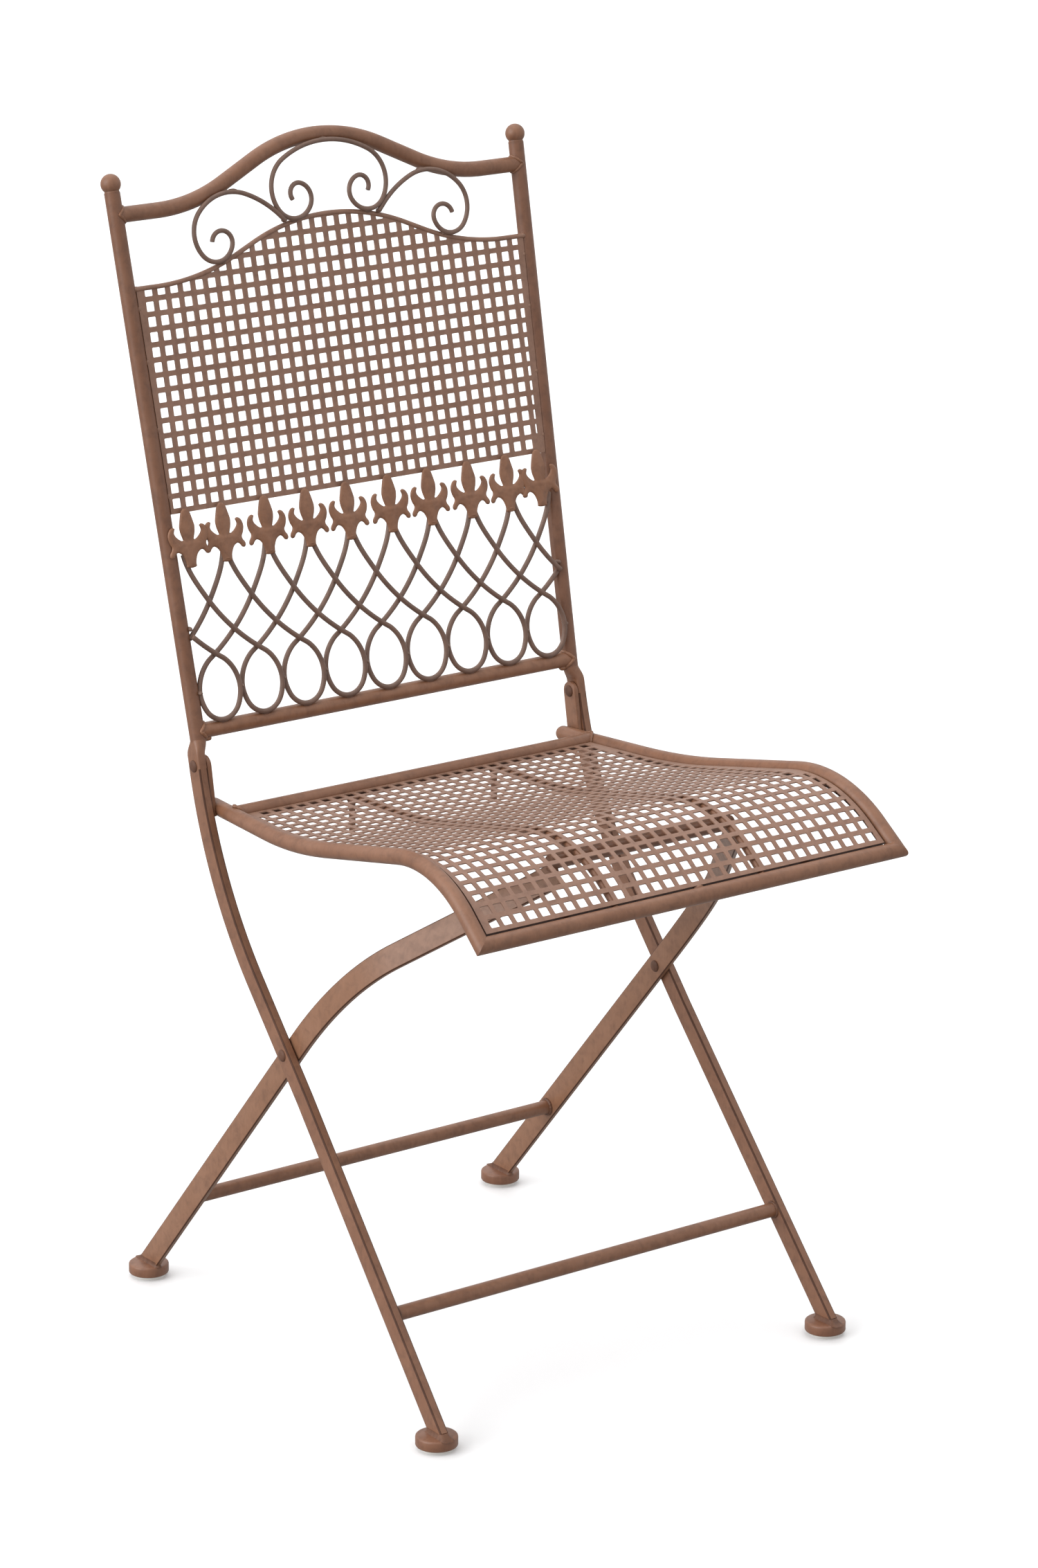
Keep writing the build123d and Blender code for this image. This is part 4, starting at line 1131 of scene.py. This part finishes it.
def seat_hole(i, j, cx, cs):
    if j >= n_hole_rows or not -16 <= i <= 15:
        return None
    lim = plan_half(on_seat(cs - SH / 2)[0]) - 3.6
    lo, hi = max(cx - SH / 2, -lim), min(cx + SH / 2, lim)
    return (lo, hi) if hi - lo > 3.6 else None


bm = perforated(cols, rows, seat_hole, SP, SH, SR)
add_strip(bm, rows[0][0] + SR / 2, s_front + 1.0)
cut(bm, Vector((0, s_rear, 0)), Vector((0, -1, 0)))
cut(bm, Vector((0, s_front, 0)), Vector((0, 1, 0)))
# sides: measured against the curved rails, then cut as a straight line
for sg in (-1, 1):
    for v in bm.verts:
        v.co.x -= sg * plan_half(on_seat(v.co.y)[0])
    cut(bm, Vector((0, 0, 0)), Vector((sg, 0, 0)))
    for v in bm.verts:
        v.co.x += sg * plan_half(on_seat(v.co.y)[0])
# the borders are folded down
bmesh.ops.remove_doubles(bm, verts=bm.verts[:], dist=1e-4)


def on_border(v):
    return abs(v.co.y - s_front) < 0.02, abs(v.co.y - s_rear) < 0.02, abs(abs(v.co.x) - plan_half(on_seat(v.co.y)[0])) < 0.02


lip_edges = [e for e in bm.edges if len(e.link_faces) == 1 and any(all(on_border(v)[k] for v in e.verts) for k in (0, 1, 2))]
ext = bmesh.ops.extrude_edge_only(bm, edges=lip_edges)
for v in [x for x in ext["geom"] if isinstance(x, bmesh.types.BMVert)]:
    v.co.z = -LIP
# painted shade: the folded borders get the dark colour that stands in for the shade in the crevice beside the rails
for f in [x for x in ext["geom"] if isinstance(x, bmesh.types.BMFace)]:
    f.material_index = 1
for v in bm.verts:
    s, d = v.co.y, v.co.z
    y, z = on_seat(s)
    ya, za = on_seat(max(0.0, s - 0.6))
    yb, zb = on_seat(min(LEN, s + 0.6))
    nl = math.hypot(yb - ya, zb - za)
    v.co = Vector((v.co.x, y + Y_SHIFT + d * (zb - za) / nl, z - d * (yb - ya) / nl))
ob = sheet_piece("seat_mesh_sheet", bm, M_SHEET, ST, ["seat_sheet"], 1.0, 0.25)
# second slot: the painted crevice shade for the folded borders
ob.data.materials.append(M_PAINTED_CREASE_SHADE)

DROP = -(0.75 + ROD_R + 0.05) + SEAT_UP
gl = seat_line(DROP, REAR_RAIL[0] - Y_SHIFT - TUBE_R - ROD_R - 0.05, 0.0)
rod2 = fillet2d([(gl[0].x, 412.0)] + [tuple(p) for p in gl], [7.0, SEAT_R1 - DROP, SEAT_R2 + DROP], 2.0)
for side, sg in (("left", -1), ("right", 1)):
    path = densify([Vector((sg * ROD_X, p.x + Y_SHIFT, p.y)) for p in rod2], 4.0)
    g = Geo()
    g.add(tube(path, ROD_R, X_AXIS, 18, ("blunt", "blunt")))
    g.add(blob(Vector((sg * ROD_X, gl[0].x + Y_SHIFT + 2.0, gl[0].y - 1.5)), (3.6, 2.0, 3.4), 81 + sg))
    piece("guide_rod_wire_" + side, g, M_TUBE, ST, ["guide_rod_" + side])

# ---------------------------------------------------------------- stage, light, camera
WORLD_FRONT, WORLD_BACK, WORLD_LOW = 0.84, 1.0, 0.56
SUN_SIDE, SUN_TOP = 1.95, 1.05
FLOOR_GLOW = 0.06
fm = bpy.data.materials.new("floor")
fm.use_nodes = True
fb = fm.node_tree.nodes["Principled BSDF"]
fb.inputs["Base Color"].default_value = (0.82, 0.82, 0.825, 1)
fb.inputs["Roughness"].default_value = 0.6
fb.inputs["Emission Color"].default_value = (1, 1, 1, 1)
fb.inputs["Emission Strength"].default_value = FLOOR_GLOW
bm = bmesh.new()
bmesh.ops.create_grid(bm, x_segments=8, y_segments=8, size=14.0)
me = bpy.data.meshes.new("floor")
bm.to_mesh(me)
bm.free()
me.materials.append(fm)
floor = bpy.data.objects.new("floor", me)
scene.collection.objects.link(floor)
# the white floor throws no light back up, so undersides stay dark
floor.visible_diffuse = False
floor.visible_glossy = False

world = bpy.data.worlds.new("studio")
scene.world = world
world.use_nodes = True
wt = world.node_tree
bg = wt.nodes["Background"]
# a white sweep behind the object, a dimmer room in front of it
wc = wt.nodes.new("ShaderNodeTexCoord")
wd = wt.nodes.new("ShaderNodeVectorMath")
wd.operation = "DOT_PRODUCT"
wd.inputs[1].default_value = (0.55, 0.74, 0.38)
wr = wt.nodes.new("ShaderNodeMapRange")
wr.inputs["From Min"].default_value = -0.75
wr.inputs["From Max"].default_value = 0.65
wr.inputs["To Min"].default_value = WORLD_FRONT
wr.inputs["To Max"].default_value = WORLD_BACK
wt.links.new(wc.outputs["Generated"], wd.inputs[0])
wt.links.new(wd.outputs["Value"], wr.inputs["Value"])
# dimmer from below
ws = wt.nodes.new("ShaderNodeSeparateXYZ")
wt.links.new(wc.outputs["Generated"], ws.inputs[0])
wl = wt.nodes.new("ShaderNodeMapRange")
wl.inputs["From Min"].default_value = -0.45
wl.inputs["From Max"].default_value = 0.2
wl.inputs["To Min"].default_value = WORLD_LOW
wl.inputs["To Max"].default_value = 1.0
wt.links.new(ws.outputs["Z"], wl.inputs["Value"])
wm = wt.nodes.new("ShaderNodeMath")
wm.operation = "MULTIPLY"
wt.links.new(wr.outputs["Result"], wm.inputs[0])
wt.links.new(wl.outputs["Result"], wm.inputs[1])
wt.links.new(wm.outputs["Value"], bg.inputs["Strength"])
bg.inputs["Color"].default_value = (1.0, 1.0, 1.0, 1)


def sun(name, direction, energy, angle):
    li = bpy.data.lights.new(name, "SUN")
    li.energy = energy
    li.angle = math.radians(angle)
    ob = bpy.data.objects.new(name, li)
    ob.rotation_mode = "QUATERNION"
    ob.rotation_quaternion = (-Vector(direction)).to_track_quat("-Z", "Y")
    ob.location = Vector(direction) * 4
    scene.collection.objects.link(ob)


sun("side", (-1.0, 0.1, 0.42), SUN_SIDE, 50)
sun("top", (-0.05, 0.25, 1.0), SUN_TOP, 85)

cam = bpy.data.cameras.new("camera")
cam.sensor_fit = "AUTO"
cam.sensor_width = 36.0
cam.lens = 7699.1 * 36.0 / 2265.0
cam.clip_start, cam.clip_end = 0.1, 60
cob = bpy.data.objects.new("camera", cam)
yaw, pitch, roll = math.radians(36.512), math.radians(16.86), math.radians(0.15)
fwd = Vector((math.sin(yaw) * math.cos(pitch), math.cos(yaw) * math.cos(pitch), -math.sin(pitch)))
cob.location = (-2.444, -3.3303, 1.716)
cob.rotation_mode = "QUATERNION"
q = fwd.to_track_quat("-Z", "Y")
cob.rotation_quaternion = q @ Matrix.Rotation(roll, 3, "Z").to_quaternion()
scene.collection.objects.link(cob)
scene.camera = cob
scene.view_settings.view_transform = "Standard"
